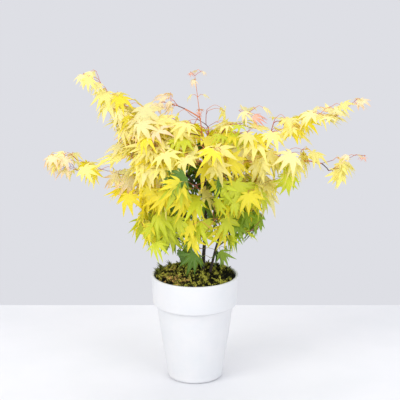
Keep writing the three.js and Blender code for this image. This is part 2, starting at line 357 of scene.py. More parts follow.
@dataclass(frozen=True)
class BarkFinish:
    """Thin streaked bark that turns to the colour of young wood high up and far out.

    Attributes:
        name: The material's name.
        deep: The colour of its furrows.
        light: The colour of its ridges.
        young: The colour that it turns to.
        risen: The heights at which it starts to turn and has turned.
        out: The distances from the pot's axis at which it starts to turn and has turned.
        rough: Its roughness.
    """

    name: str
    deep: Colour
    light: Colour
    young: Colour
    risen: Pair = NEVER
    out: Pair = NEVER
    rough: float = 0.6

    def make(self) -> bpy.types.Material:
        """Builds the material.

        Returns:
            The material.
        """
        draft = Surface(self.name)
        streak = draft.grain(420.0, 3.0, (1.0, 1.0, 0.18))
        fleck = draft.grain(1100.0, 2.0, (1.0, 1.0, 0.5))
        old = draft.blend(draft.spread(streak, 0.38, 0.68), self.deep, self.light)
        parts = draft.add("ShaderNodeSeparateXYZ", {0: draft.place()}).outputs
        squares = [draft.maths("MULTIPLY", part, part) for part in (parts[0], parts[1])]
        out = draft.maths("SQRT", draft.maths("ADD", *squares))
        turned = draft.maths("MAXIMUM", draft.spread(parts[2], *self.risen), draft.spread(out, *self.out))
        relief = draft.maths("ADD", streak, draft.maths("MULTIPLY", fleck, 0.3))
        rough = draft.spread(fleck, 0.3, 0.7, self.rough - 0.1, self.rough + 0.12)
        return draft.wear(draft.blend(turned, old, self.young), rough,
                          Normal=draft.height(relief, 0.0005, 0.5))


class Tint(Enum):
    """The autumn colours of the leaves, SHADE's green darkened by painted shade: the blade, its tips, and the
    record's slot they go with.
    """

    CREAM = ((254, 246, 184), (253, 232, 168), "blush_leaf")
    BLUSH = ((254, 240, 196), (252, 204, 178), "blush_leaf")
    ROSE = ((250, 200, 178), (232, 124, 112), "blush_leaf")
    LEMON = ((254, 243, 160), (252, 236, 134), "gold_leaf")
    GOLD = ((252, 236, 72), (248, 224, 46), "gold_leaf")
    LIME = ((224, 229, 68), (206, 216, 50), "lime_leaf")
    GREEN = ((156, 182, 62), (134, 162, 48), "lime_leaf")
    # SHADE is the green of leaves grown in shade, darkened further as painted shade for leaves deep in and
    # behind the crown.
    SHADE = ((104, 138, 54), (84, 116, 42), "lime_leaf")

    @property
    def key(self) -> str:
        """The tint's name in a piece's name."""
        return self.name.lower()


@dataclass(frozen=True)
class LeafFinish:
    """A thin leaf that lets some light through, paler on its ribs and turned at its tips.

    Attributes:
        tint: The leaf's colours.
        through: How much of the light goes through.
        rich: How much richer the colour of that light is.
        lean: Its turn of hue, where 0.5 is none and more leans towards green.
        vein: The colour of the ribs.
    """

    tint: Tint
    through: float = 0.34
    rich: float = 1.35
    lean: float = 0.515
    vein: Colour = paint(255, 250, 214)

    def make(self) -> bpy.types.Material:
        """Builds the material.

        Returns:
            The material.
        """
        draft = Surface(f"leaf_{self.tint.key}")
        blade, tip = (paint(*colour) for colour in self.tint.value[:2])
        reach, rib, tone = (draft.add("ShaderNodeAttribute", attribute_name=name).outputs["Fac"]
                            for name in ("reach", "rib", "tone"))
        mottle = draft.grain(130.0, 2.0)
        patchy = draft.spread(mottle, 0.3, 0.7, 0.6, 1.0)
        turned = draft.maths("MULTIPLY", draft.spread(reach, 0.35, 1.0), patchy)
        toned = draft.add("ShaderNodeHueSaturation", {
            "Value": draft.spread(tone, 0.0, 1.0, 0.88, 1.04), "Color": draft.blend(turned, blade, tip)})
        colour = draft.blend(draft.spread(rib, 0.0, 0.16, 0.16, 0.0), toned.outputs[0], self.vein)
        fine = draft.maths("MULTIPLY", draft.grain(700.0, 2.0), 0.35)
        crease = draft.maths("ADD", draft.spread(rib, 0.0, 0.3), fine)
        material = draft.wear(colour, draft.spread(mottle, 0.3, 0.7, 0.42, 0.58), Specular_IOR_Level=0.3,
                              Normal=draft.height(crease, 0.0006, 0.5))
        rich = draft.add("ShaderNodeHueSaturation",
                         {"Hue": self.lean, "Saturation": self.rich, "Color": colour})
        glow = draft.add("ShaderNodeBsdfTranslucent", {"Color": rich.outputs[0]})
        both = draft.add("ShaderNodeMixShader",
                         {0: self.through, 1: draft.shader.outputs[0], 2: glow.outputs[0]})
        draft.feed(draft.output, {"Surface": both.outputs[0]})
        return material


class Recipe(Draft):
    """A Geometry Nodes tree while it is put together.

    Attributes:
        given: The sockets of its inputs.
    """

    def __init__(self, name: str, **inputs: tuple[str, Any]) -> None:
        """Starts the tree, with an input for the finish.

        Args:
            name: The tree's name.
            **inputs: For each other input, its socket type and its plain value or None.
        """
        super().__init__(bpy.data.node_groups.new(name, "GeometryNodeTree"))
        new_socket = self.tree.interface.new_socket
        new_socket("Geometry", in_out="INPUT", socket_type="NodeSocketGeometry")
        for label, (kind, value) in (inputs | {"Finish": ("Material", None)}).items():
            socket = new_socket(label, in_out="INPUT", socket_type=f"NodeSocket{kind}")
            if value is not None:
                socket.default_value = value
        new_socket("Geometry", in_out="OUTPUT", socket_type="NodeSocketGeometry")
        self.given = self.add("NodeGroupInput").outputs

    def stored(self, name: str, kind: str = "FLOAT") -> Socket:
        """The socket of a stored value."""
        return self.add("GeometryNodeInputNamedAttribute", {"Name": name}, data_type=kind).outputs[0]

    def stand(self, forms: str, points: Socket, **feeds: Any) -> Socket:
        """Stands one of several forms on every point.

        Args:
            forms: The input with the collection of forms.
            points: The points.
            **feeds: What else feeds the node, by name with _ for a blank.

        Returns:
            The socket with the forms.
        """
        kinds = self.add("GeometryNodeCollectionInfo", {
            "Collection": self.given[forms], "Separate Children": True, "Reset Children": True})
        named = {name.replace("_", " "): value for name, value in feeds.items()}
        return self.add("GeometryNodeInstanceOnPoints", {
            "Points": points, "Instance": kinds.outputs[0], "Pick Instance": True} | named).outputs[0]

    def close(self, geometry: Socket) -> Tree:
        """Ends the tree with real geometry that wears its finish.

        Args:
            geometry: The geometry so far.

        Returns:
            The tree.
        """
        real = self.add("GeometryNodeRealizeInstances", {0: geometry})
        dressed = self.add("GeometryNodeSetMaterial", {0: real.outputs[0], "Material": self.given["Finish"]})
        self.add("NodeGroupOutput", {0: dressed.outputs[0]})
        return self.tree


def place_piece(piece: Piece, slot: str, replaced: Sequence[str] = ()) -> None:
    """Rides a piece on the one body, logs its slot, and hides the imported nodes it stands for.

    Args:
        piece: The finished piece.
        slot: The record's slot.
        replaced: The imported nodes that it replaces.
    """
    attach(piece, "root")
    if replaced:
        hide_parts(*replaced)
    LOG.info("%s: %d faces, slot %s, in place of %d nodes", piece.name, len(piece.data.polygons), slot,
             len(replaced))


def run_tree(tree: Tree, source: Piece, name: str, values: dict[str, Any], slot: str,
             replaced: Sequence[str] = ()) -> None:
    """Runs a tree on a source and places its result, as a plain mesh, as a piece.

    Args:
        tree: The tree.
        source: The object it works on, which is removed.
        name: The new piece's name.
        values: A value for each named input.
        slot: The record's slot.
        replaced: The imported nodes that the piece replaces.
    """
    modifier = source.modifiers.new(tree.name, "NODES")
    modifier.node_group = tree
    for item in tree.interface.items_tree:
        if item.item_type == "SOCKET" and item.in_out == "INPUT" and item.name in values:
            modifier[item.identifier] = values[item.name]
    graph = bpy.context.evaluated_depsgraph_get()
    graph.update()
    mesh = bpy.data.meshes.new_from_object(source.evaluated_get(graph), preserve_all_data_layers=True,
                                           depsgraph=graph)
    source.modifiers.remove(modifier)
    old = source.data
    bpy.data.objects.remove(source)
    bpy.data.meshes.remove(old)
    place_piece(link_mesh(name, mesh), slot, replaced)


@contextmanager
def shelf(name: str, forms: Iterable[Piece]) -> Iterator[bpy.types.Collection]:
    """Keeps forms in a collection while pieces are made of them, and then removes them.

    Args:
        name: The collection's name.
        forms: The forms.

    Yields:
        The collection.
    """
    held = bpy.data.collections.new(name)
    for form in forms:
        bpy.context.scene.collection.objects.unlink(form)
        held.objects.link(form)
    yield held
    for form in list(held.objects):
        bpy.data.objects.remove(form)
    bpy.data.collections.remove(held)


def node_box(name: str) -> tuple[Vector, Vector]:
    """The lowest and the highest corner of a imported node."""
    low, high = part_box(name)
    return Vector(low), Vector(high)


def node_mesh(name: str) -> tuple[np.ndarray, np.ndarray]:
    """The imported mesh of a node.

    Args:
        name: The node's name.

    Returns:
        Its corners, and its triangles as corner numbers.
    """
    mesh = frame["nodes"][name].data
    mesh.calc_loop_triangles()
    corners = np.empty(len(mesh.vertices) * 3)
    mesh.vertices.foreach_get("co", corners)
    triangles = np.empty(len(mesh.loop_triangles) * 3, dtype=np.int32)
    mesh.loop_triangles.foreach_get("vertices", triangles)
    return corners.reshape(-1, 3), triangles.reshape(-1, 3)


@dataclass
class Flowerpot:
    """A round tapered pot with a tall collar, turned about its upright axis.

    Attributes:
        wall: The thickness of the wall.
        floor: The thickness of the floor.
        collar: The height of the collar.
        collar_foot: The radius at the collar's foot.
        body_top: The body's radius under the collar.
        base: The body's radius at its base.
        lip: The radius of the rounding on the rim.
        foot: The radius of the rounding at the base.
        tuck: The radius of the hollow rounding under the collar.
        bead: The radius of the rounding at the collar's foot.
        recess: How far the middle of the underside is raised.
        recess_reach: How far out it is raised.
        body_swell: How far the body's flank swells.
        collar_swell: How far the collar's flank swells.
        under_step: How far under the collar the body's flank ends.
        over_step: How far over its foot the collar's flank starts.
        inner_lip: How far down the inside stays upright.
        inner_lean: How far it leans in behind the collar.
        inner_step: Half the height of the step inside.
        cove: The reach and height of the slope where the wall meets the floor.
        sides: How many sides the turned shape has.
        height: The height of the rim.
        rim: The radius of the rim.
    """

    wall: float = 0.006
    floor: float = 0.009
    collar: float = 0.060
    collar_foot: float = 0.085
    body_top: float = 0.078
    base: float = 0.056
    lip: float = 0.0026
    foot: float = 0.0065
    tuck: float = 0.0022
    bead: float = 0.0034
    recess: float = 0.0015
    recess_reach: float = 0.044
    body_swell: float = 0.0006
    collar_swell: float = 0.0004
    under_step: float = 0.0035
    over_step: float = 0.0036
    inner_lip: float = 0.012
    inner_lean: float = 0.0016
    inner_step: float = 0.004
    cove: Pair = (0.005, 0.006)
    sides: int = 128
    height: float = field(init=False)
    rim: float = field(init=False)

    def __post_init__(self) -> None:
        """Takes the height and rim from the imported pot."""
        low, high = node_box("pot")
        self.height, self.rim = high.z, (high.x - low.x) / 2

    @staticmethod
    def bend(centre: Pair, radius: float, start: float, end: float, steps: int) -> list[Pair]:
        """Points on a round edge of the outline, between two angles in degrees from outwards."""
        angles = [math.radians(start + (end - start) * i / steps) for i in range(steps + 1)]
        return [(centre[0] + radius * math.cos(a), centre[1] + radius * math.sin(a)) for a in angles]

    @staticmethod
    def flank(start: Pair, end: Pair, swell: float, steps: int) -> list[Pair]:
        """Points between two places on a flank that swells a little.

        Args:
            start: Where it starts, as radius and height.
            end: Where it ends.
            swell: How far its middle swells.
            steps: How many steps there are.

        Returns:
            The points, as radius and height.
        """
        shares = [i / steps for i in range(1, steps)]
        return [(start[0] + (end[0] - start[0]) * share + swell * math.sin(math.pi * share),
                 start[1] + (end[1] - start[1]) * share) for share in shares]

    def outline(self) -> list[Pair]:
        """The closed outline, from the underside up the outside and down the inside.

        Returns:
            The points, as radius and height.
        """
        step, brow, inner = self.height - self.collar, self.height - self.lip, self.rim - self.wall
        well = self.base - self.wall
        points = [(0.0, self.recess), (self.recess_reach, self.recess)]
        points.append((self.recess_reach + self.recess, 0.0))
        points += self.bend((self.base - self.foot, self.foot), self.foot, -90, 4, 7)
        reach, level = points[-1]
        top = step - self.under_step
        slope = (self.body_top - self.base) / step
        points += self.flank((reach, level), (reach + slope * (top - level), top), self.body_swell, 15)
        points += self.bend((self.body_top + self.tuck, step - self.tuck), self.tuck, 180, 90, 5)
        points += self.bend((self.collar_foot - self.bead, step + self.bead), self.bead, -90, 2, 6)
        foot = (self.collar_foot, step + self.over_step)
        points += self.flank(foot, (self.rim, brow), self.collar_swell, 8)
        points += self.bend((self.rim - self.lip, brow), self.lip, 0, 90, 5)
        points += self.bend((inner + self.lip, brow), self.lip, 90, 180, 5)
        points += [(inner, self.height - self.inner_lip), (inner - self.inner_lean, step + self.inner_step)]
        points += [(self.body_top - self.wall, step - self.inner_step), (well, self.floor + self.cove[1])]
        return points + [(well - self.cove[0], self.floor), (0.0, self.floor)]

    def build(self) -> None:
        """Turns the outline into the pot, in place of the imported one."""
        rings = [[(x, y, level) for x, y in ring(reach, self.sides)] for reach, level in self.outline()]
        pot = turned_skin("glazed_pot", rings, downwards=False)
        pot.data.materials.append(GlazeFinish().make())
        place_piece(pot, "white_glaze", ["pot"])


# The near-black dark kind is painted shade in the low gaps between cushions; the bright kind, on the cushion
# tops and the lit front-left side, is partly painted light.
MOSS_KINDS: dict[str, tuple[Colour, Colour]] = {
    "dark": (paint(12, 12, 6), paint(36, 36, 15)),
    "olive": (paint(50, 48, 17), paint(104, 101, 36)),
    "bright": (paint(166, 168, 56), paint(230, 224, 106)),
    "straw": (paint(196, 152, 82), paint(240, 206, 128)),
}
SPRIG_ANGLES = (138, 146, 153, 160, 167, 175, 184, 196, 12, 28, 41, 56, 70, 92, 118, 262, 330)


@dataclass
class Blades:
    """Pointed blades, each a bent strip, that become one mesh.

    Attributes:
        corners: The corner places.
        faces: The loops of corners.
    """

    corners: list[Vector] = field(default_factory=list)
    faces: list[tuple[int, ...]] = field(default_factory=list)

    def add(self, foot: Vector, narrow: Vector, waist: Vector, wide: Vector, tip: Vector) -> None:
        """Adds a blade.

        Args:
            foot: The middle of its foot.
            narrow: Half the width of its foot.
            waist: The middle of its waist.
            wide: Half the width of its waist.
            tip: Its tip.
        """
        first = len(self.corners)
        self.corners += [foot - narrow, foot + narrow, waist + wide, waist - wide, tip]
        self.faces += [(first, first + 1, first + 2, first + 3), (first + 3, first + 2, first + 4)]

    def link(self, name: str) -> Piece:
        """Puts the blades in the scene under a name."""
        return link_mesh(name, mesh_of(name, self.corners, [], self.faces))


@dataclass
class MossBed:
    """The mound of moss over the growing mix, with tufts in several colours and a few sprigs at the rim.

    Attributes:
        rings: How many rings the mound's top has.
        spokes: How many spokes it has.
        hummock: The height of its hummocks.
        cushion: The height of its small cushions.
        cushion_span: How far apart those are.
        tall: The height of one tuft.
        apart: The least distance between tufts.
        margin: How far the tufts keep from the pot's wall.
        pit: The reach of a hollow by the rim, darkened with painted shade.
        dip: Its depth.
        straw: Where the middle of a straw-coloured patch is.
        straw_reach: The reach of that patch.
        tuft_blades: How many blades a tuft has.
        sprig_blades: How many leaves a sprig has.
        seed: The seed of its tufts and sprigs.
        reach: The mound's radius.
        edge: The height of its edge.
        crest: The height of its middle.
        under: The height of its underside.
    """

    rings: int = 46
    spokes: int = 150
    hummock: float = 0.0028
    cushion: float = 0.0032
    cushion_span: float = 0.0078
    tall: float = 0.0040
    apart: float = 0.0017
    margin: float = 0.0028
    pit: float = 0.015
    dip: float = 0.004
    straw: Pair = (-0.048, -0.050)
    straw_reach: float = 0.040
    tuft_blades: int = 6
    sprig_blades: int = 9
    seed: int = 11
    reach: float = field(init=False)
    edge: float = field(init=False)
    crest: float = field(init=False)
    under: float = field(init=False)

    def __post_init__(self) -> None:
        """Takes the mound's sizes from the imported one."""
        low, high = node_box("moss")
        self.reach, self.under = (high.x - low.x) / 2 - 0.0002, low.z
        self.edge, self.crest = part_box("pot")[1][2] - 0.0050, high.z - self.hummock

    def lump(self, x: float, y: float, span: float, shift: float) -> float:
        """Noise between about -1 and 1 with lumps of a given span."""
        spot = Vector((x / span + shift, y / span - shift, shift))
        return noise.noise(spot, noise_basis="PERLIN_ORIGINAL") * 1.6

    def cushions(self, x: float, y: float) -> float:
        """The noise that the small cushions follow."""
        return self.lump(x, y, self.cushion_span, 8.4)

    def hollow(self, x: float, y: float) -> float:
        """How deep a place lies in the hollow by the rim, from 0 to 1; its tufts are dark there as painted
        shade.
        """
        return math.exp(-((x - self.reach * 0.86) ** 2 + (y + self.reach * 0.14) ** 2) / self.pit ** 2)

    def level(self, x: float, y: float) -> float:
        """The height of the moss at a place.

        Args:
            x: The place across.
            y: The place back.

        Returns:
            The height in metres.
        """
        share = min(math.hypot(x, y) / self.reach, 1.0)
        dome = self.edge + (self.crest - self.edge) * (1 - share ** 2) ** 0.75
        lean = 0.0022 * (y / self.reach) * (1 - share ** 4)
        rough = self.hummock * self.lump(x, y, 0.018, 3.1) + self.cushion * self.cushions(x, y)
        return dome + lean + rough * (1 - share ** 10) - self.dip * self.hollow(x, y)

    def mound(self) -> Piece:
        """The closed body of the mound, before its tufts.

        Returns:
            The mound.
        """
        rings = []
        for number in range(self.rings + 1):
            flat = ring(self.reach * (number / self.rings) ** 0.9, self.spokes, 0.5 * (number % 2))
            rings.append([(x, y, self.level(x, y)) for x, y in flat])
        for reach in (self.reach, 0.0):
            rings.append([(x, y, self.under) for x, y in ring(reach, self.spokes, 0.5 * (self.rings % 2))])
        return turned_skin("moss_mound", rings, downwards=True)

    def cover(self, x: float, y: float, z: float) -> dict[str, float]:
        """How much of each kind of tuft grows at a place.

        Args:
            x: The place across.
            y: The place back.
            z: The place up.

        Returns:
            A share from 0 to 1 for each kind.
        """
        top = float(z > self.edge - 0.004 and math.hypot(x, y) < self.reach - self.margin)
        # Dark tufts take the low places between cushions and the hollow as painted shade; bright and some
        # straw tufts take the cushion tops and lean to the lit front-left side as painted light, over the
        # moss's own mixed colours.
        patch = self.cushions(x, y) * 0.9 + self.lump(x, y, 0.004, 20.7) * 0.5 - 1.5 * self.hollow(x, y)
        painted_light = self.lump(x, y, 0.035, 41.0) * 0.5 - (y * 0.6 + x * 0.4) / self.reach
        dry = max(0.0, 1 - math.hypot(x - self.straw[0], y - self.straw[1]) / self.straw_reach)
        straw = float(patch > -0.1) * max(dry, 0.2 * float(painted_light > 0.5))
        bright = float(patch > 0.19 - 0.28 * painted_light)
        return {"dark": top * float(patch <= 0.0),
                "olive": top * float(-0.1 - 0.2 * painted_light < patch) * (1 - 0.7 * bright),
                "bright": top * bright * (1 - straw * 0.6),
                "straw": top * straw}

    def tuft(self, number: int) -> Piece:
        """One small tuft of pointed blades that lean outwards.

        Args:
            number: Which of the tuft's forms is made.

        Returns:
            The tuft, one metre tall, on its foot at the origin.
        """
        draw, blades = random.Random(self.seed * 100 + number), Blades()
        for blade in range(self.tuft_blades):
            out = heading(2 * math.pi * (blade + draw.uniform(-0.3, 0.3)) / self.tuft_blades)
            side = Vector((-out.y, out.x, 0)) * draw.uniform(0.10, 0.17)
            lean, tall = draw.uniform(0.25, 0.75), draw.uniform(0.7, 1.05)
            waist = out * lean * 0.45 + UP * tall * 0.55
            blades.add(out * 0.04, side * 0.7, waist, side, out * lean + UP * tall)
        return blades.link(f"tuft_{number}")

    def tuft_tree(self) -> Tree:
        """The tree that stands tufts on the mound where their kind grows.

        Returns:
            The tree.
        """
        draft = Recipe("moss_tufts", Tufts=("Collection", None), Cover=("Float", 1.0), Apart=("Float", 0.002),
                       Height=("Float", 0.004), Seed=("Int", 0))
        share = draft.maths("MULTIPLY", draft.stored("cover"), draft.given["Cover"])
        spots = draft.add("GeometryNodeDistributePointsOnFaces", {
            "Mesh": draft.given["Geometry"], "Distance Min": draft.given["Apart"], "Density Max": 480000.0,
            "Density Factor": share, "Seed": draft.given["Seed"]}, distribute_method="POISSON")
        turn = draft.add("FunctionNodeRandomValue", {
            0: (-0.35, -0.35, 0.0), 1: (0.35, 0.35, 6.28), "Seed": 3}, data_type="FLOAT_VECTOR")
        tall = draft.add("FunctionNodeRandomValue", {2: 0.6, 3: 1.3, "Seed": 5}, data_type="FLOAT")
        size = draft.maths("MULTIPLY", tall.outputs[1], draft.given["Height"])
        return draft.close(draft.stand("Tufts", spots.outputs["Points"], Scale=size,
                                       Rotation=turn.outputs[0]))

    def sprigs(self) -> Piece:
        """Small leafy sprigs that lean out over the rim.

        Returns:
            The sprigs as one piece.
        """
        draw, blades = random.Random(self.seed + 7), Blades()
        for angle in SPRIG_ANGLES:
            out = heading(math.radians(angle + draw.uniform(-4, 4)))
            strong = 1.25 if 135 < angle < 190 else 0.7
            foot = out * (self.reach - draw.uniform(0.002, 0.012))
            foot.z = self.level(foot.x, foot.y) - 0.001
            for _ in range(self.sprig_blades):
                lean = out * draw.uniform(-0.2, 0.75) + Vector((-out.y, out.x, 0)) * draw.uniform(-0.8, 0.8)
                way = unit(lean * 0.8 + UP * draw.uniform(0.5, 1.1))
                long, side = strong * draw.uniform(0.008, 0.0170), unit(way.cross(UP)) * 0.0014
                tip = foot + way * long + out * long * 0.18 - UP * long * 0.12
                blades.add(foot, side * 0.35, foot + way * long * 0.55 + UP * 0.001, side, tip)
        return blades.link("rim_sprigs")

    def build(self) -> None:
        """Makes the mound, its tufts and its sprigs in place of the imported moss."""
        mound = self.mound()
        covers = [self.cover(*corner.co) for corner in mound.data.vertices]
        tree = self.tuft_tree()
        with shelf("tufts", [self.tuft(number) for number in range(4)]) as tufts:
            for number, (kind, colours) in enumerate(MOSS_KINDS.items()):
                patch = link_mesh(f"patch_{kind}", mound.data.copy())
                write_numbers(patch.data, "cover", [cover[kind] for cover in covers])
                tall = self.tall * (0.8 if kind == "dark" else 1.0)
                run_tree(tree, patch, f"moss_tufts_{kind}", {
                    "Tufts": tufts, "Apart": self.apart, "Height": tall, "Seed": self.seed + number,
                    "Finish": EarthFinish(f"moss_{kind}", *colours).make()}, "moss")
        # The mound shows only between the tufts; its near-black colours are painted shade in those gaps, over
        # a dark moss bed.
        for piece, colours, grains, depth, replaced in (
                (mound, (paint(14, 12, 7), paint(46, 44, 20)), 240.0, 0.002, ["moss"]),
                (self.sprigs(), (paint(74, 80, 28), paint(120, 124, 44)), 300.0, 0.0012, [])):
            piece.data.materials.append(EarthFinish(piece.name, *colours, grains, depth).make())
            place_piece(piece, "moss", replaced)
        mix = frame["nodes"]["growing_mix"].data.materials
        mix.clear()
        mix.append(EarthFinish("growing_mix", paint(32, 24, 17), paint(74, 58, 42), 180.0, 0.002).make())


@dataclass
class LimbLine:
    """The middle line of a packed limb, read off its own mesh.

    Attributes:
        name: The node's name.
        places: The points along its middle, from its foot to its end.
        girths: The limb's radius at each point.
        margin: The share of the limb at either end that isn't cut.
    """

    name: str
    places: list[Vector] = field(default_factory=list)
    girths: list[float] = field(default_factory=list)
    margin: float = 0.05

    def read(self, stations: int, towards: Vector | None = None) -> "LimbLine":
        """Cuts the limb's mesh across at even stations.

        Args:
            stations: How many cuts there are.
            towards: A place near the foot, or None for a limb that starts at its lowest point.

        Returns:
            The line itself.
        """
        corners, triangles = node_mesh(self.name)
        middle = corners.mean(axis=0)
        axis = np.linalg.svd(corners - middle, full_matrices=False)[2][0]
        along = (corners - middle) @ axis
        low, high = along.min(), along.max()
        foot, end = middle + axis * low, middle + axis * high
        if foot[2] > end[2] if towards is None else math.dist(foot, towards) > math.dist(end, towards):
            axis, low, high, along = -axis, -high, -low, -along
        heights = along[triangles]
        for i in range(stations):
            level = low + (high - low) * (self.margin + (1 - 2 * self.margin) * i / (stations - 1))
            if cut := self.cut(corners[triangles], heights - level):
                self.places.append(cut[0])
                self.girths.append(cut[1])
        first, last = self.places[0], self.places[-1]
        self.places.insert(0, first + (first - self.places[1]) * self.margin * stations)
        self.places.append(last + (last - self.places[-2]) * self.margin * stations)
        self.girths = [self.girths[0]] + self.girths + [self.girths[-1]]
        return self

    @staticmethod
    def cut(triangles: np.ndarray, heights: np.ndarray) -> tuple[Vector, float] | None:
        """The middle and radius of a mesh where a plane crosses it.

        Args:
            triangles: The triangles' corners.
            heights: Each corner's height over the plane.

        Returns:
            The middle and the radius, or None where nothing is cut.
        """
        crossed = (heights.min(axis=1) < 0) & (heights.max(axis=1) > 0)
        ends = []
        for corners, levels in zip(triangles[crossed], heights[crossed]):
            pair = []
            for a, b in ((0, 1), (1, 2), (2, 0)):
                if levels[a] * levels[b] < 0:
                    share = levels[a] / (levels[a] - levels[b])
                    pair.append(corners[a] + (corners[b] - corners[a]) * share)
            if len(pair) == 2:
                ends.append(pair)
        if not ends:
            return None
        ends = np.array(ends)
        spans = np.linalg.norm(ends[:, 1] - ends[:, 0], axis=1)
        middle = (ends.mean(axis=1) * spans[:, None]).sum(axis=0) / spans.sum()
        fuller = 1.04  # a cut has few sides, and so runs a little short of the circle round it
        return Vector(middle), float(spans.sum() / (2 * math.pi) * fuller)


def smooth_line(places: list[Vector], girths: list[float], step: float) -> Line:
    """Runs a smooth curve through points, in even steps.

    Args:
        places: The points.
        girths: The radius at each point.
        step: The length of a step.

    Returns:
        The finer points and their radii.
    """
    fine, thick = [places[0].copy()], [girths[0]]
    for i in range(len(places) - 1):
        before, here, there, after = (places[min(max(k, 0), len(places) - 1)] for k in range(i - 1, i + 3))
        lead, follow = (there - before) * 0.5, (after - here) * 0.5
        count = max(1, round((there - here).length / step))
        for k in range(1, count + 1):
            t = k / count
            point = (here * (2 * t ** 3 - 3 * t ** 2 + 1) + lead * (t ** 3 - 2 * t ** 2 + t)
                     + there * (3 * t ** 2 - 2 * t ** 3) + follow * (t ** 3 - t ** 2))
            fine.append(point)
            thick.append(girths[i] + (girths[i + 1] - girths[i]) * t)
    return fine, thick


@dataclass
class Framework:
    """Every point of the plant's wood, from the stems to the last twig.

    Attributes:
        places: Where each point is.
        parents: The point that each grows on from, or -1 at a stem's foot.
        heads: The way the wood grows at each point.
        ways: The length of wood from the foot to each point.
        girths: The wood's radius at each point, or 0 while it isn't known.
        runs: The chains of points that make one tube each.
        known: The places as a table.
    """

    places: list[Vector] = field(default_factory=list)
    parents: list[int] = field(default_factory=list)
    heads: list[Vector] = field(default_factory=list)
    ways: list[float] = field(default_factory=list)
    girths: list[float] = field(default_factory=list)
    runs: list[list[int]] = field(default_factory=list)
    known: np.ndarray = field(default_factory=lambda: np.zeros((0, 3)))

    def add(self, place: Vector, parent: int, girth: float = 0.0) -> int:
        """Adds one point that grows on from another.

        Args:
            place: Where it is.
            parent: The point it grows on from, or -1.
            girth: Its radius where that is known.

        Returns:
            The point's number.
        """
        self.places.append(place)
        self.parents.append(parent)
        step = place - self.places[parent] if parent >= 0 else UP * 0.01
        self.heads.append(unit(step))
        self.ways.append(step.length + self.ways[parent] if parent >= 0 else 0.0)
        self.girths.append(girth)
        return len(self.places) - 1

    def nearest(self, place: Vector) -> int:
        """Finds the point nearest to a place.

        Args:
            place: The place.

        Returns:
            The point's number.
        """
        if len(self.known) != len(self.places):
            self.known = table(self.places)
        return int(np.linalg.norm(self.known - np.array(tuple(place)), axis=1).argmin())

    def lay(self, places: list[Vector], girths: list[float], parent: int) -> list[int]:
        """Lays a limb as a run of points.

        Args:
            places: Its points.
            girths: Their radii.
            parent: The point it grows on from, or -1.

        Returns:
            The numbers of the run.
        """
        run = [parent] if parent >= 0 else []
        for place, girth in zip(places, girths):
            run.append(self.add(place, run[-1] if run else -1, girth))
        return run


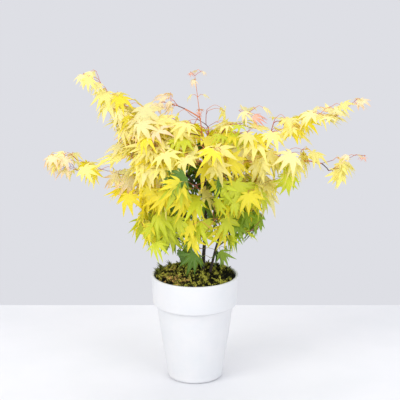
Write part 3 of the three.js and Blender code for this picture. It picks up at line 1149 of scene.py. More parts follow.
@dataclass
class LimbWork:
    """The stems and boughs as tapering limbs with the relief of their bark.

    Attributes:
        stems: The nodes of the stems.
        step: The length of a step along a limb.
        sides: How many sides a limb has.
        relief: How deep the bark's relief is, beside the limb's radius.
        shoot_from: The height above which the trunk thins to a young shoot.
        thinning: How much it thins.
        flare: How much wider a stem is at its foot.
        flare_height: How high that reaches.
        knots: How much the limb swells at its knots.
        pitch: How many radians a step counts, with a knot at every half turn.
        collar: How much thicker a bough is where it leaves the wood.
        back: How far behind a bough's foot its wood is sought.
        wood: The wood that the limbs are laid in.
        lines: Each limb's finer points and radii.
        replaced: The nodes that the limbs stand for.
        leader: The points of the trunk.
    """

    stems: tuple[str, ...] = ("trunk", "left_stem", "right_stem")
    step: float = 0.0025
    sides: int = 14
    relief: float = 0.2
    shoot_from: float = 0.44
    thinning: float = 0.62
    flare: float = 0.35
    flare_height: float = 0.012
    knots: float = 0.05
    pitch: float = 0.62
    collar: float = 1.35
    back: float = 0.004
    wood: Framework = field(default_factory=Framework)
    lines: list[Line] = field(default_factory=list)
    replaced: list[str] = field(default_factory=list)
    leader: list[Vector] = field(default_factory=list)

    def read(self) -> None:
        """Reads every packed limb and joins it to the wood it grows from, the nearest first."""
        for name in self.stems:
            self.keep(LimbLine(name).read(15 if name == "trunk" else 7), -1)
        boughs = [name for name in sorted(frame["nodes"]) if name.startswith("bough_")]
        for name in sorted(boughs, key=lambda name: self.gaps(name).min()):
            line = LimbLine(name).read(6, Vector(node_mesh(name)[0][self.gaps(name).argmin()]))
            back = line.places[0] - unit(line.places[1] - line.places[0]) * self.back
            self.keep(line, self.wood.nearest(back))

    def gaps(self, name: str) -> np.ndarray:
        """How far each corner of a packed bough is from the wood so far."""
        steps = node_mesh(name)[0][:, None, :] - table(self.wood.places[::3])[None]
        return np.linalg.norm(steps, axis=2).min(axis=1)

    def keep(self, line: LimbLine, parent: int) -> None:
        """Lays one limb and remembers its tube.

        Args:
            line: The limb's middle line.
            parent: The point of the wood it grows on from, or -1.
        """
        places, girths = line.places, line.girths
        if parent >= 0:
            places, girths = [self.wood.places[parent]] + places, [girths[0] * self.collar] + girths
        fine, thick = smooth_line(places, girths, self.step)
        if line.name == "trunk":
            crown, top = self.shoot_from, fine[-1].z
            shares = [min(max((place.z - crown) / (top - crown), 0.0), 1.0) for place in fine]
            thick = [girth * (1 - self.thinning * share ** 0.7) for share, girth in zip(shares, thick)]
        for i, place in enumerate(fine):
            flare = self.flare * math.exp(-(place.z - fine[0].z) / self.flare_height) if parent < 0 else 0.0
            thick[i] *= (1 + flare) * (1 + self.knots * math.sin(i * self.pitch + len(self.lines)) ** 8)
        self.lines.append((fine, thick))
        coarse = sorted({*range(0, len(fine), 3), len(fine) - 1})[1 if parent >= 0 else 0:]
        run = self.wood.lay([fine[i] for i in coarse], [thick[i] for i in coarse], parent)
        if line.name == "trunk":
            self.leader = [self.wood.places[point] for point in run]
        self.replaced.append(line.name)

    def build(self, tree: Tree) -> None:
        """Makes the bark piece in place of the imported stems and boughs.

        Args:
            tree: The tree that makes tubes.
        """
        colours = (paint(30, 22, 20), paint(72, 56, 46), paint(206, 118, 66))
        bark = BarkFinish("dark_bark", *colours, risen=(0.45, 0.51), out=(0.05, 0.17))
        run_tree(tree, line_mesh("limb_lines", self.lines), "stems_and_boughs", {
            "Sides": self.sides, "Relief": self.relief, "Grain": 330.0, "Finish": bark.make()},
            "bark", self.replaced)


def line_mesh(name: str, lines: list[Line]) -> Piece:
    """Loose lines with their radii, to make tubes of.

    Args:
        name: The object's name.
        lines: For each line, its points and their radii.

    Returns:
        The lines as one object.
    """
    corners, edges, girths = [], [], []
    for places, thick in lines:
        first = len(corners)
        corners += places
        girths += thick
        edges += [(first + i, first + i + 1) for i in range(len(places) - 1)]
    mesh = mesh_of(name, corners, edges, [])
    write_numbers(mesh, "girth", girths)
    return link_mesh(name, mesh)


def tube_tree() -> Tree:
    """The tree that makes a closed tube with relief along every line.

    Returns:
        The tree.
    """
    draft = Recipe("wood_tubes", Sides=("Int", 8), Relief=("Float", 0.0), Grain=("Float", 300.0))
    girth = draft.stored("girth")
    lines = draft.add("GeometryNodeMeshToCurve", {0: draft.given["Geometry"]})
    hoop = draft.add("GeometryNodeCurvePrimitiveCircle", {"Resolution": draft.given["Sides"], "Radius": 1.0})
    skin = draft.add("GeometryNodeCurveToMesh", {
        0: lines.outputs[0], 1: hoop.outputs[0], "Scale": girth, "Fill Caps": True})
    place = draft.add("GeometryNodeInputPosition").outputs[0]
    squeezed = draft.add("ShaderNodeVectorMath", {0: place, 1: (1.0, 1.0, 0.22)}, operation="MULTIPLY")
    ridge = draft.add("ShaderNodeTexNoise", {
        "Vector": squeezed.outputs[0], "Scale": draft.given["Grain"], "Detail": 3.0})
    lift = draft.maths("MULTIPLY", draft.maths("SUBTRACT", ridge.outputs[0], 0.5), draft.given["Relief"])
    normal = draft.add("GeometryNodeInputNormal").outputs[0]
    offset = draft.add("ShaderNodeVectorMath", {0: normal, "Scale": draft.maths("MULTIPLY", lift, girth)},
                       operation="SCALE")
    raised = draft.add("GeometryNodeSetPosition", {0: skin.outputs[0], "Offset": offset.outputs[0]})
    return draft.close(draft.add("GeometryNodeSetShadeSmooth", {0: raised.outputs[0]}).outputs[0])


@dataclass(frozen=True)
class Dress:
    """How one mass of foliage is dressed.

    Attributes:
        tints: How often each tint falls to a spray.
        apart: The distance between its sprays.
        blade: The length of a leaf's middle lobe.
        young: The share of young, narrow leaves.
        hang: From 0, held level, to 1, hung straight down.
        keep: The share of the sprays that are kept.
        reach: How far a tip may stand out of the masses.
        core: How deep a spray is at least, beside the deepest place in its mass.
    """

    tints: dict[Tint, float]
    apart: float = 0.021
    blade: float = 0.052
    young: float = 0.1
    hang: float = 0.6
    keep: float = 1.0
    reach: float = 0.020
    core: float = 0.34


def tints(**weights: float) -> dict[Tint, float]:
    """Weights for tints by their plain names."""
    return {Tint[name.upper()]: weight for name, weight in weights.items()}


DRESSES: dict[str, Dress] = {
    "leader_tuft": Dress(tints(blush=2, rose=1), apart=0.020, blade=0.015, young=1.0, hang=0.1, keep=0.5),
    "top_sprig": Dress(tints(cream=3, blush=2), apart=0.018, blade=0.030, young=0.7, hang=0.15, keep=0.6),
    "crest_sprig": Dress(tints(cream=2, rose=1, blush=1), apart=0.018, blade=0.032, young=0.8, hang=0.15,
                         keep=0.8),
    "side_sprig": Dress(tints(lime=1), apart=0.020, blade=0.044, hang=0.95, keep=0.6, reach=0.026),
    "foot_left": Dress(tints(green=1, shade=1), apart=0.024, blade=0.044, young=0.0, hang=0.85, reach=0.044,
                       core=0.1),
    "foot_right": Dress(tints(green=1), apart=0.022, blade=0.038, hang=0.7, reach=0.030),
    "upper_left_tip": Dress(tints(cream=4, lemon=4), apart=0.022, blade=0.036, young=0.4, hang=0.45,
                            keep=0.65, core=0.1, reach=0.036),
    "upper_right_tip": Dress(tints(cream=5, blush=3, lemon=3), apart=0.016, blade=0.036, young=0.6,
                             hang=0.25),
    "lower_left_tip": Dress(tints(cream=4, blush=2, lemon=5), apart=0.015, blade=0.046, young=0.2, hang=0.4,
                            core=0.1),
    "lower_right_tip": Dress(tints(rose=3, blush=1), apart=0.022, blade=0.022, young=1.0, hang=0.1, keep=0.7,
                             core=0.1),
    "upper_left_fan": Dress(tints(lemon=5, cream=4, gold=2), apart=0.018, blade=0.054, hang=0.5, reach=0.032),
    "upper_left_shoulder": Dress(tints(lemon=3, cream=6, blush=3), apart=0.019, hang=0.08, core=0.2,
                                 reach=0.040),
    "lower_left_fan": Dress(tints(lemon=5, cream=2, gold=2, lime=1), apart=0.020, blade=0.048, hang=0.65,
                            keep=0.95, core=0.2),
    "lower_left_shoulder": Dress(tints(lemon=4, cream=4, blush=2), blade=0.048, hang=0.4, keep=0.6,
                                 core=0.25, reach=0.026),
    "upper_right_fan": Dress(tints(lemon=5, cream=4), apart=0.015, blade=0.046, hang=0.05),
    "upper_right_shoulder": Dress(tints(lemon=6, gold=2), blade=0.050, hang=0.12, keep=0.76, reach=0.034),
    "lower_right_fan": Dress(tints(lemon=6, gold=1, lime=1), apart=0.016, blade=0.048),
    "lower_right_shoulder": Dress(tints(lemon=5, cream=3, lime=2), blade=0.050, hang=0.5, keep=0.65),
    "top_left": Dress(tints(gold=3, lemon=5, cream=1, lime=1), blade=0.050, hang=0.15),
    "top_right": Dress(tints(lime=4, lemon=3, green=1), blade=0.044, hang=0.12, keep=0.65),
    "top_back": Dress(tints(lemon=3, cream=2), blade=0.042, young=0.2, hang=0.55, keep=0.18),
    "back_shoulder": Dress(tints(lemon=5, gold=4), apart=0.024, blade=0.050, hang=0.95, keep=0.75, core=0.1,
                           reach=0.046),
    "back_fan": Dress(tints(lemon=5, gold=3, lime=2), apart=0.026, hang=0.5, core=0.1, reach=0.034),
    "upper_left": Dress(tints(lemon=8, cream=3, gold=3), hang=0.16, core=0.05, reach=0.070),
    "upper_right": Dress(tints(lemon=8, cream=2, gold=2), apart=0.023, blade=0.054, hang=0.3),
    "upper_front": Dress(tints(lemon=6, cream=1, gold=4), apart=0.023, blade=0.055, hang=0.4),
    "front_fan": Dress(tints(green=3, shade=3, gold=1), blade=0.050, hang=0.7, keep=0.7),
    "middle_front_left": Dress(tints(gold=8, lime=1, lemon=3), apart=0.024, blade=0.060),
    "middle_front_right": Dress(tints(gold=5, lime=6, green=1), apart=0.024, blade=0.058),
    "middle_left": Dress(tints(gold=5, lime=3, lemon=2), blade=0.054, hang=0.4, reach=0.036),
    "middle_right": Dress(tints(lemon=7, cream=2, gold=1), hang=0.3),
    "low_left": Dress(tints(lime=6, gold=5), apart=0.023, blade=0.058, hang=0.72, reach=0.040, core=0.2),
    "low_front": Dress(tints(gold=5, lime=6), apart=0.024, blade=0.060, hang=0.72),
    "middle_back": Dress(tints(shade=3, green=2)),
    "low_back_right": Dress(tints(green=4, shade=4), blade=0.054, hang=0.8),
    "low_back_left": Dress(tints(lime=2, green=4, shade=1), blade=0.054, hang=0.8),
    "low_right": Dress(tints(lime=2, green=6, shade=1), apart=0.022, hang=0.75, keep=0.9, reach=0.022,
                       core=0.25),
}
BY_HEIGHT: tuple[tuple[float, Dress], ...] = (
    (0.36, Dress(tints(lime=4, green=3), blade=0.054, hang=0.85)),
    (0.44, Dress(tints(gold=2, lime=5), blade=0.054, hang=0.75)),
    (0.50, Dress(tints(lemon=4, gold=2, lime=2))),
    (9.99, Dress(tints(lemon=4, gold=1, cream=2), blade=0.046, hang=0.5)),
)


@dataclass
class Mass:
    """One packed mass of foliage and how it is dressed.

    Attributes:
        node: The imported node's name.
        dress: Its dress.
        centre: Its middle.
        low: Its lowest corner.
        high: Its highest corner.
    """

    node: str
    dress: Dress = field(init=False)
    centre: Vector = field(init=False)
    low: Vector = field(init=False)
    high: Vector = field(init=False)

    def __post_init__(self) -> None:
        """Reads its box and picks its dress by name, or else by height."""
        self.low, self.high = node_box(self.node)
        self.centre = (self.low + self.high) / 2
        named = DRESSES.get(self.node.removeprefix("foliage_"))
        self.dress = named or next(dress for top, dress in BY_HEIGHT if self.centre.z < top)


@dataclass
class Volume:
    """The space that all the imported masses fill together.

    Attributes:
        masses: The masses.
        bodies: Each one's search tree.
        whole: The search tree of them all.
        centre: The middle of their corners.
    """

    masses: list[Mass]
    bodies: dict[str, BVHTree] = field(default_factory=dict)
    whole: BVHTree = field(init=False)
    centre: Vector = field(init=False)

    def __post_init__(self) -> None:
        """Builds the search trees."""
        points, loops = [], []
        for mass in self.masses:
            corners, triangles = node_mesh(mass.node)
            self.bodies[mass.node] = BVHTree.FromPolygons(corners.tolist(), triangles.tolist())
            loops += (triangles + len(points)).tolist()
            points += corners.tolist()
        self.whole = BVHTree.FromPolygons(points, loops)
        self.centre = Vector(np.mean(points, axis=0))

    @staticmethod
    def depth_in(body: BVHTree, place: Vector) -> float:
        """How deep in metres a place lies inside a body, or less than 0 outside."""
        spot, normal, _, gap = body.find_nearest(place)
        return gap if (spot - place).dot(normal) > 0 else -gap

    def outside(self, place: Vector) -> float:
        """How far a place lies outside every mass, or 0 inside one."""
        return max(0.0, -self.depth_in(self.whole, place))


@dataclass(frozen=True)
class Opening:
    """An opening in the crown, through which the stems and the inner leaves show.

    Attributes:
        across: Where its middle is across.
        level: How high its middle is beside the trunk.
        half_across: Half its width.
        half_level: Half its height.
        through: False where only leaves in front of the trunk stay out of it.
        slope: How fast it falls away to the back.
    """

    across: float
    level: float
    half_across: float
    half_level: float
    through: bool = True
    slope: float = 0.255

    @classmethod
    def beside(cls, node: str, shares: Pair, halves: Pair, through: bool) -> "Opening":
        """An opening placed by a mass.

        Args:
            node: The mass.
            shares: Where its middle is across and up the mass's box, from 0 to 1 inside it.
            halves: Half its width and half its height.
            through: False where only leaves in front of the trunk stay out of it.

        Returns:
            The opening.
        """
        low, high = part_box(node)
        level = low[2] + (high[2] - low[2]) * shares[1] + cls.slope * (low[1] + high[1]) / 2
        return cls(low[0] + (high[0] - low[0]) * shares[0], level, *halves, through)

    def closed(self, place: Vector) -> float:
        """How far a place lies towards the middle of the opening, from 0 at its edge to 1."""
        rise = place.z + place.y * self.slope - self.level
        return max(0.0, 1 - math.hypot((place.x - self.across) / self.half_across, rise / self.half_level))


OPENINGS: tuple[tuple[str, Pair, Pair, bool], ...] = (
    ("middle_front_right", (-0.15, 0.56), (0.036, 0.044), False),
    ("middle_front_right", (-0.03, -0.12), (0.020, 0.024), False),
    ("low_front", (0.56, -0.34), (0.018, 0.016), False),
    ("lower_right_shoulder", (0.64, 0.62), (0.024, 0.018), True),
    ("top_right", (0.80, 0.35), (0.034, 0.010), True),
    ("lower_left_shoulder", (0.42, 0.88), (0.028, 0.013), True),
    ("low_right", (1.0, 0.08), (0.044, 0.042), True),
    ("low_left", (-0.3, 0.05), (0.020, 0.036), True),
    ("low_left", (0.0, -0.05), (0.020, 0.020), True),
    ("top_back", (0.5, 1.0), (0.044, 0.034), True),
    ("back_shoulder", (0.5, 0.72), (0.052, 0.032), True),
    ("upper_left_tip", (0.70, 0.55), (0.018, 0.016), True),
    ("foot_right", (0.0, 0.45), (0.016, 0.030), True),
)


@dataclass
class Spray:
    """A point on a twig that holds a pair of leaves.

    Attributes:
        place: Where it is.
        mass: The mass it belongs to.
        tint: The colour of its leaves.
        point: Its number in the wood.
    """

    place: Vector
    mass: Mass
    tint: Tint
    point: int = -1


@dataclass
class TwigGrower:
    """Grows twigs from the limbs to every spray, each by the shortest natural way.

    Attributes:
        wood: The plant's wood, which it adds to.
        seed: The seed of its draws.
        economy: How much a long way from the foot counts beside a short twig.
        turning: How much a sharp turn counts.
        falling: How much a twig that falls counts.
        step: The length of a step along a twig.
        finest: The radius of the thinnest twig.
        swelling: How fast a twig thickens with the sprays it carries.
        kink: How far a point of a twig strays.
        stout: The radius from which a twig is an old one, beside the thinnest.
        draw: The draws.
    """

    wood: Framework
    seed: int = 5
    economy: float = 0.22
    turning: float = 0.55
    falling: float = 0.5
    step: float = 0.007
    finest: float = 0.00052
    swelling: float = 0.42
    kink: float = 0.0006
    stout: float = 1.75
    draw: random.Random = field(init=False)

    def __post_init__(self) -> None:
        """Starts the draws."""
        self.draw = random.Random(self.seed)

    def grow(self, sprays: list[Spray]) -> None:
        """Joins every spray to the wood, the cheapest first.

        Args:
            sprays: The sprays, which get the number of their point.
        """
        goals = table(spray.place for spray in sprays)
        cheapest = np.full(len(sprays), np.inf)
        source = np.zeros(len(sprays), dtype=int)
        waiting = np.ones(len(sprays), dtype=bool)
        fresh = list(range(len(self.wood.places)))
        while waiting.any():
            self.weigh(goals, fresh, cheapest, source)
            goal = int(np.where(waiting, cheapest, np.inf).argmin())
            run = self.reach(int(source[goal]), sprays[goal].place)
            sprays[goal].point = run[-1]
            waiting[goal] = False
            fresh = run[1:]
        self.thicken([spray.point for spray in sprays])

    def weigh(self, goals: np.ndarray, fresh: list[int], cheapest: np.ndarray, source: np.ndarray) -> None:
        """Finds whether new points offer a cheaper way to any spray.

        Args:
            goals: The sprays' places.
            fresh: The new points.
            cheapest: The least cost for each spray so far, which is updated.
            source: The point it comes from, which is updated.
        """
        heads = table(self.wood.heads[i] for i in fresh)
        ways = np.array([self.wood.ways[i] for i in fresh])
        steps = goals[:, None, :] - table(self.wood.places[i] for i in fresh)[None]
        gaps = np.linalg.norm(steps, axis=2)
        align = (steps * heads[None]).sum(axis=2) / np.maximum(gaps, 1e-6)
        fall = np.maximum(-steps[:, :, 2] / np.maximum(gaps, 1e-6), 0.0)
        costs = gaps * (1 + self.turning * (1 - align) / 2 + self.falling * fall) + self.economy * ways[None]
        best = costs.argmin(axis=1)
        value = costs[np.arange(len(goals)), best]
        better = value < cheapest
        cheapest[better] = value[better]
        source[better] = np.array(fresh)[best[better]]

    def reach(self, start: int, goal: Vector) -> list[int]:
        """Grows one arching twig.

        Args:
            start: The point it grows from.
            goal: Where it ends.

        Returns:
            The run of points, the start among them.
        """
        origin, head = self.wood.places[start], self.wood.heads[start]
        gap = (goal - origin).length
        way = unit(goal - origin)
        leave = unit(head * 0.45 + way * 0.8 + UP * 0.2)
        arrive = unit(way + UP * 0.1 - Vector((0, 0, 0.25)) * min(gap / 0.06, 1.0))
        second, third = origin + leave * gap * 0.36, goal - arrive * gap * 0.3
        count = max(2, round(gap / self.step))
        run = [start]
        for i in range(1, count + 1):
            t = i / count
            place = (origin * (1 - t) ** 3 + second * 3 * t * (1 - t) ** 2
                     + third * 3 * t ** 2 * (1 - t) + goal * t ** 3)
            if i < count:
                place += Vector(self.draw.uniform(-1, 1) for _ in range(3)) * self.kink
            run.append(self.wood.add(place, run[-1]))
        self.wood.runs.append(run)
        return run

    def thicken(self, ends: list[int]) -> None:
        """Gives each twig its radius by the sprays that it carries.

        Args:
            ends: The points of the sprays.
        """
        load = np.zeros(len(self.wood.places))
        for end in ends:
            load[end] += 1
        for i in range(len(self.wood.places) - 1, 0, -1):
            if self.wood.parents[i] >= 0:
                load[self.wood.parents[i]] += load[i]
        for run in self.wood.runs:
            limit = self.wood.girths[run[0]] * 0.86 or 1.0
            for i, point in enumerate(run[1:]):
                fair = self.finest * max(load[point], 1.0) ** self.swelling
                self.wood.girths[point] = max(self.finest * 0.8, min(fair, limit))
                limit = self.wood.girths[point]

    def build(self, tree: Tree) -> None:
        """Makes the twigs, the darker old ones apart from the red young ones.

        Args:
            tree: The tree that makes tubes.
        """
        kinds: dict[str, list[Line]] = {"old_twigs": [], "young_twigs": []}
        for run in self.wood.runs:
            girths = [self.wood.girths[i] for i in run]
            girths[0] = girths[1] * 1.12
            name = "old_twigs" if max(girths[1:]) > self.finest * self.stout else "young_twigs"
            kinds[name].append(smooth_line([self.wood.places[i] for i in run], girths, 0.005))
        barks = (BarkFinish("twig_bark", paint(44, 28, 26), paint(96, 60, 50), paint(128, 66, 56),
                            risen=(0.44, 0.56)),
                 BarkFinish("shoot_bark", paint(118, 56, 46), paint(168, 84, 62), paint(190, 96, 84),
                            risen=(0.42, 0.54), out=(0.5, 10.0)))
        for (name, lines), bark in zip(kinds.items(), barks):
            run_tree(tree, line_mesh(f"{name}_lines", lines), name, {
                "Sides": 6, "Relief": 0.25, "Grain": 500.0, "Finish": bark.make()}, "bark")


@dataclass(frozen=True)
class LeafForm:
    """The outline of a palmate leaf, for a middle lobe one metre long.

    Attributes:
        lobes: The angle and length of each lobe to one side of the middle one.
        width: Half the width of a lobe, beside its length.
        web: How far out the lobes part.
        curl: How far the tips curl down.
        fold: How far each lobe's margins stand up from its rib.
        uneven: How much one lobe differs from the next.
        seed: The seed of that.
    """

    lobes: tuple[Pair, ...]
    width: float
    web: float
    curl: float
    fold: float
    uneven: float
    seed: int

    def build(self, name: str) -> Piece:
        """Makes the leaf from the origin, its middle lobe along Y and its upper face along Z.

        Args:
            name: The object's name.

        Returns:
            The leaf.
        """
        draw = random.Random(self.seed)
        fan = [(0.0, 1.0)]
        for angle, long in self.lobes:
            fan = [(angle, long)] + fan + [(-angle, long)]
        fan = [(math.radians(a + draw.uniform(-4, 4) * self.uneven),
                r * (1 + draw.uniform(-0.09, 0.09) * self.uneven)) for a, r in fan]
        corners, faces, reach, rib = [(0.0, 0.0, 0.0)], [], [0.0], [0.35]

        def put(angle: float, long: float, side: float, share: float, edge: float, rise: float = 0.0) -> int:
            """Adds a corner to the leaf.

            Args:
                angle: The way of its lobe.
                long: How far out it is along the lobe.
                side: How far it is across it.
                share: How far out it is beside the tip.
                edge: 0 on the rib, 1 on the margin.
                rise: How much the lobe rises.

            Returns:
                The corner's number.
            """
            x = -math.sin(angle) * long + math.cos(angle) * side
            y = math.cos(angle) * long + math.sin(angle) * side
            z = -self.curl * (x * x + y * y) ** 1.1 + self.fold * abs(side)
            z += 0.02 * math.sin(9 * share + 5 * angle)
            z += rise * max(0.0, long - self.web)
            corners.append((x, y, z))
            reach.append(share)
            rib.append(edge)
            return len(corners) - 1

        def heel(lobe: Pair, turn: float) -> int:
            """Adds the corner where the blade leaves the stalk beside its last lobe."""
            return put(lobe[0] + math.radians(turn), lobe[1] * self.web * 0.62, 0.0, 0.15, 1.0)

        notches = [heel(fan[0], 34)]
        for (first, one), (second, two) in zip(fan, fan[1:]):
            notches.append(put((first + second) / 2, min(one, two) * self.web, 0.0, 0.32, 1.0))
        notches.append(heel(fan[-1], -34))
        for (angle, long), before, after in zip(fan, notches, notches[1:]):
            wide = self.width * long ** 0.8 * (1 + draw.uniform(-0.12, 0.12) * self.uneven)
            bend = angle + draw.uniform(-0.09, 0.09) * self.uneven
            rise = draw.uniform(-0.22, 0.16) * self.uneven
            near = put(angle, long * self.web * 0.96, 0.0, 0.3, 0.0)
            mid, left, right = (put(angle, long * (0.49 if side else 0.52), wide * side, 0.54, abs(side),
                                    rise) for side in (0, -1, 1))
            turn = (angle + bend) / 2
            far, high_left, high_right = (put(turn, long * (0.74 if side else 0.77), wide * 0.54 * side, 0.78,
                                              abs(side), rise) for side in (0, -1, 1))
            tip = put(bend, long * 1.04, 0.0, 1.0, 0.5, rise)
            faces += [(0, near, before), (0, after, near), (before, near, mid, left),
                      (near, after, right, mid), (left, mid, far, high_left), (mid, right, high_right, far),
                      (high_left, far, tip), (far, high_right, tip)]
        mesh = mesh_of(name, corners, [], faces, smooth=True)
        write_numbers(mesh, "reach", reach)
        write_numbers(mesh, "rib", rib)
        return link_mesh(name, mesh)


BROAD = ((34.0, 0.95), (66.0, 0.76), (104.0, 0.38))
NARROW = ((29.0, 0.97), (58.0, 0.82), (92.0, 0.48))
DROOPING = ((22.0, 0.99), (45.0, 0.86), (74.0, 0.56))
SLIM = ((27.0, 0.90), (56.0, 0.66))
LEAF_FORMS: tuple[LeafForm, ...] = tuple(LeafForm(*sizes, seed=i + 1) for i, sizes in enumerate((
    (BROAD, 0.136, 0.41, 0.22, 0.38, 1.0),
    (BROAD, 0.128, 0.37, 0.34, 0.32, 1.1),
    (NARROW, 0.108, 0.35, 0.28, 0.42, 1.2),
    (NARROW, 0.112, 0.37, 0.14, 0.40, 1.3),
    (BROAD, 0.132, 0.43, 0.12, 0.42, 1.0),
    (DROOPING, 0.096, 0.36, 0.32, 0.44, 1.4),
    (DROOPING, 0.090, 0.33, 0.24, 0.46, 1.6),
    (SLIM, 0.094, 0.28, 0.34, 0.50, 1.3),
    (SLIM, 0.084, 0.26, 0.18, 0.60, 1.3),
)))
SPREAD, HUNG, YOUNG = (0, 1, 2, 3, 4), (2, 3, 5, 6, 5, 6), (7, 8)
FAN = tuple((math.radians(a), r) for a, r in ((0, 1.0), (35, 0.93), (-35, 0.93), (68, 0.72), (-68, 0.72)))


@dataclass
class Leaf:
    """One leaf as it hangs.

    Attributes:
        base: Where its blade meets its stalk.
        hang: The way its middle lobe points.
        face: The way its upper side faces.
        size: The length of its middle lobe.
        form: The number of its form.
        tint: Its colour.
        stalk: The points of its stalk.
        node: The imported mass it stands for.
    """

    base: Vector
    hang: Vector
    face: Vector
    size: float
    form: int
    tint: Tint
    stalk: list[Vector]
    node: str

    def middle(self) -> Vector:
        """The middle of the blade."""
        return self.base + self.hang * self.size * 0.5

    def turn(self) -> Euler:
        """The turn that lays a form's blade this way."""
        side = self.hang.cross(self.face)
        return Matrix((side, self.hang, self.face)).transposed().to_euler()


@dataclass
class Foliage:
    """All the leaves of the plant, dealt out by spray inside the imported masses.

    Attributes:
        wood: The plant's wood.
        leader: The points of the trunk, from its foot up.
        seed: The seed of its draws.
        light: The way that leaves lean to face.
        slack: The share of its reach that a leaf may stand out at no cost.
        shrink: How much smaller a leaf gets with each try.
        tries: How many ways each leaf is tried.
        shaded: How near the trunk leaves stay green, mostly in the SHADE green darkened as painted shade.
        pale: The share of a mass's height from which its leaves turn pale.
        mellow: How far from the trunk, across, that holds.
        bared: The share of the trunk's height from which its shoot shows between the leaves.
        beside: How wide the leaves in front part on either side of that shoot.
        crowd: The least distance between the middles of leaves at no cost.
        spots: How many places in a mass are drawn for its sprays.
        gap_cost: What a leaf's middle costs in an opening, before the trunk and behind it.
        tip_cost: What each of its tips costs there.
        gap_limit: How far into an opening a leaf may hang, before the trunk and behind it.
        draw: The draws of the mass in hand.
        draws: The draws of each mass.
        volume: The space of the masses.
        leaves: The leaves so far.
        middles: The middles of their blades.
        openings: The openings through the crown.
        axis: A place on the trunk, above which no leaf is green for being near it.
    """

    wood: Framework
    leader: list[Vector]
    seed: int = 57
    light: Vector = field(default_factory=lambda: Vector((-0.25, -0.85, 0.5)).normalized())
    slack: float = 0.4
    shrink: float = 0.009
    tries: int = 24
    shaded: float = 0.066
    pale: float = 0.42
    mellow: float = 0.095
    bared: float = 0.66
    beside: float = 0.010
    crowd: float = 0.026
    spots: int = 1500
    gap_cost: Pair = (0.3, 0.25)
    tip_cost: Pair = (0.2, 0.16)
    gap_limit: Pair = (0.12, 0.3)
    draw: random.Random = field(init=False)
    draws: dict[str, random.Random] = field(default_factory=dict)
    volume: Volume = field(init=False)
    leaves: list[Leaf] = field(default_factory=list)
    middles: np.ndarray = field(default_factory=lambda: np.full((4000, 3), 9.0))
    openings: list[Opening] = field(init=False)
    axis: Vector = field(init=False)

    def __post_init__(self) -> None:
        """Starts the draws and reads the masses."""
        names = [name for name in sorted(frame["nodes"]) if name.startswith("foliage_")]
        self.draws = {name: random.Random(f"{self.seed} {name}") for name in names}
        self.volume = Volume([Mass(name) for name in names])
        self.openings = [Opening.beside(f"foliage_{node}", *rest) for node, *rest in OPENINGS]
        low, high = node_box("trunk")
        self.axis = (low + high) / 2
        self.axis.z = low.z + (high.z - low.z) * self.bared
        for place in self.leader:
            if place.z > self.axis.z:
                level = place.z + place.y * Opening.slope
                self.openings.append(Opening(place.x, level, self.beside, self.beside, through=False))

    def sprays(self) -> list[Spray]:
        """Deals sprays out through the core of each mass.

        Returns:
            The sprays.
        """
        dealt: list[Spray] = []
        for mass in self.volume.masses:
            self.draw = self.draws[mass.node]
            body = self.volume.bodies[mass.node]
            spots = [Vector(self.draw.uniform(a, b) for a, b in zip(mass.low, mass.high))
                     for _ in range(self.spots)]
            depths = [self.volume.depth_in(body, place) for place in spots]
            least = mass.dress.core * max(depths)
            taken: list[Vector] = []
            for place, depth in zip(spots, depths):
                if depth > least and all((place - other).length > mass.dress.apart for other in taken):
                    taken.append(place)
            for place in taken:
                if self.draw.random() <= mass.dress.keep:
                    dealt.append(Spray(place, mass, self.deal(place, mass)))
        return dealt

    def deal(self, place: Vector, mass: Mass) -> Tint:
        """Draws a spray's tint: green by the trunk, mostly darkened as painted shade, and pale only towards
        the top of its mass.

        Args:
            place: Where the spray is.
            mass: Its mass.

        Returns:
            The tint.
        """
        kinds = list(mass.dress.tints)
        tint = self.draw.choices(kinds, [mass.dress.tints[kind] for kind in kinds])[0]
        # Two draws in three give SHADE, the green darkened as painted shade inside the crown.
        green = self.draw.choice((Tint.GREEN, Tint.SHADE, Tint.SHADE))
        away = math.hypot(place.x - self.axis.x, place.y - self.axis.y)
        if away < self.shaded and place.z < self.axis.z and Tint.GREEN not in kinds:
            return green
        low = (place.z - mass.low.z) / (mass.high.z - mass.low.z) < self.pale and mass.dress.young < 0.3
        pale = tint in (Tint.CREAM, Tint.BLUSH, Tint.LEMON)
        return Tint.GOLD if low and away < self.mellow and pale else tint

    def closed(self, place: Vector) -> float:
        """How far a place lies towards the middle of any opening."""
        front = not self.behind(place)
        return max(opening.closed(place) for opening in self.openings if front or opening.through)

    def behind(self, place: Vector) -> bool:
        """Whether a place lies behind the trunk."""
        return place.y >= self.axis.y

    def outward(self, place: Vector, mass: Mass) -> Vector:
        """The way out of the plant at a place, level or rising.

        Args:
            place: The place.
            mass: The mass it is in.

        Returns:
            The direction.
        """
        core = self.wood.places[self.wood.nearest(place)]
        stem = Vector((self.volume.centre.x * 0.4, self.volume.centre.y * 0.4, place.z))
        return unit(unit(place - stem) * 0.9 + unit(place - mass.centre) * 0.7 + unit(place - core) * 0.2)

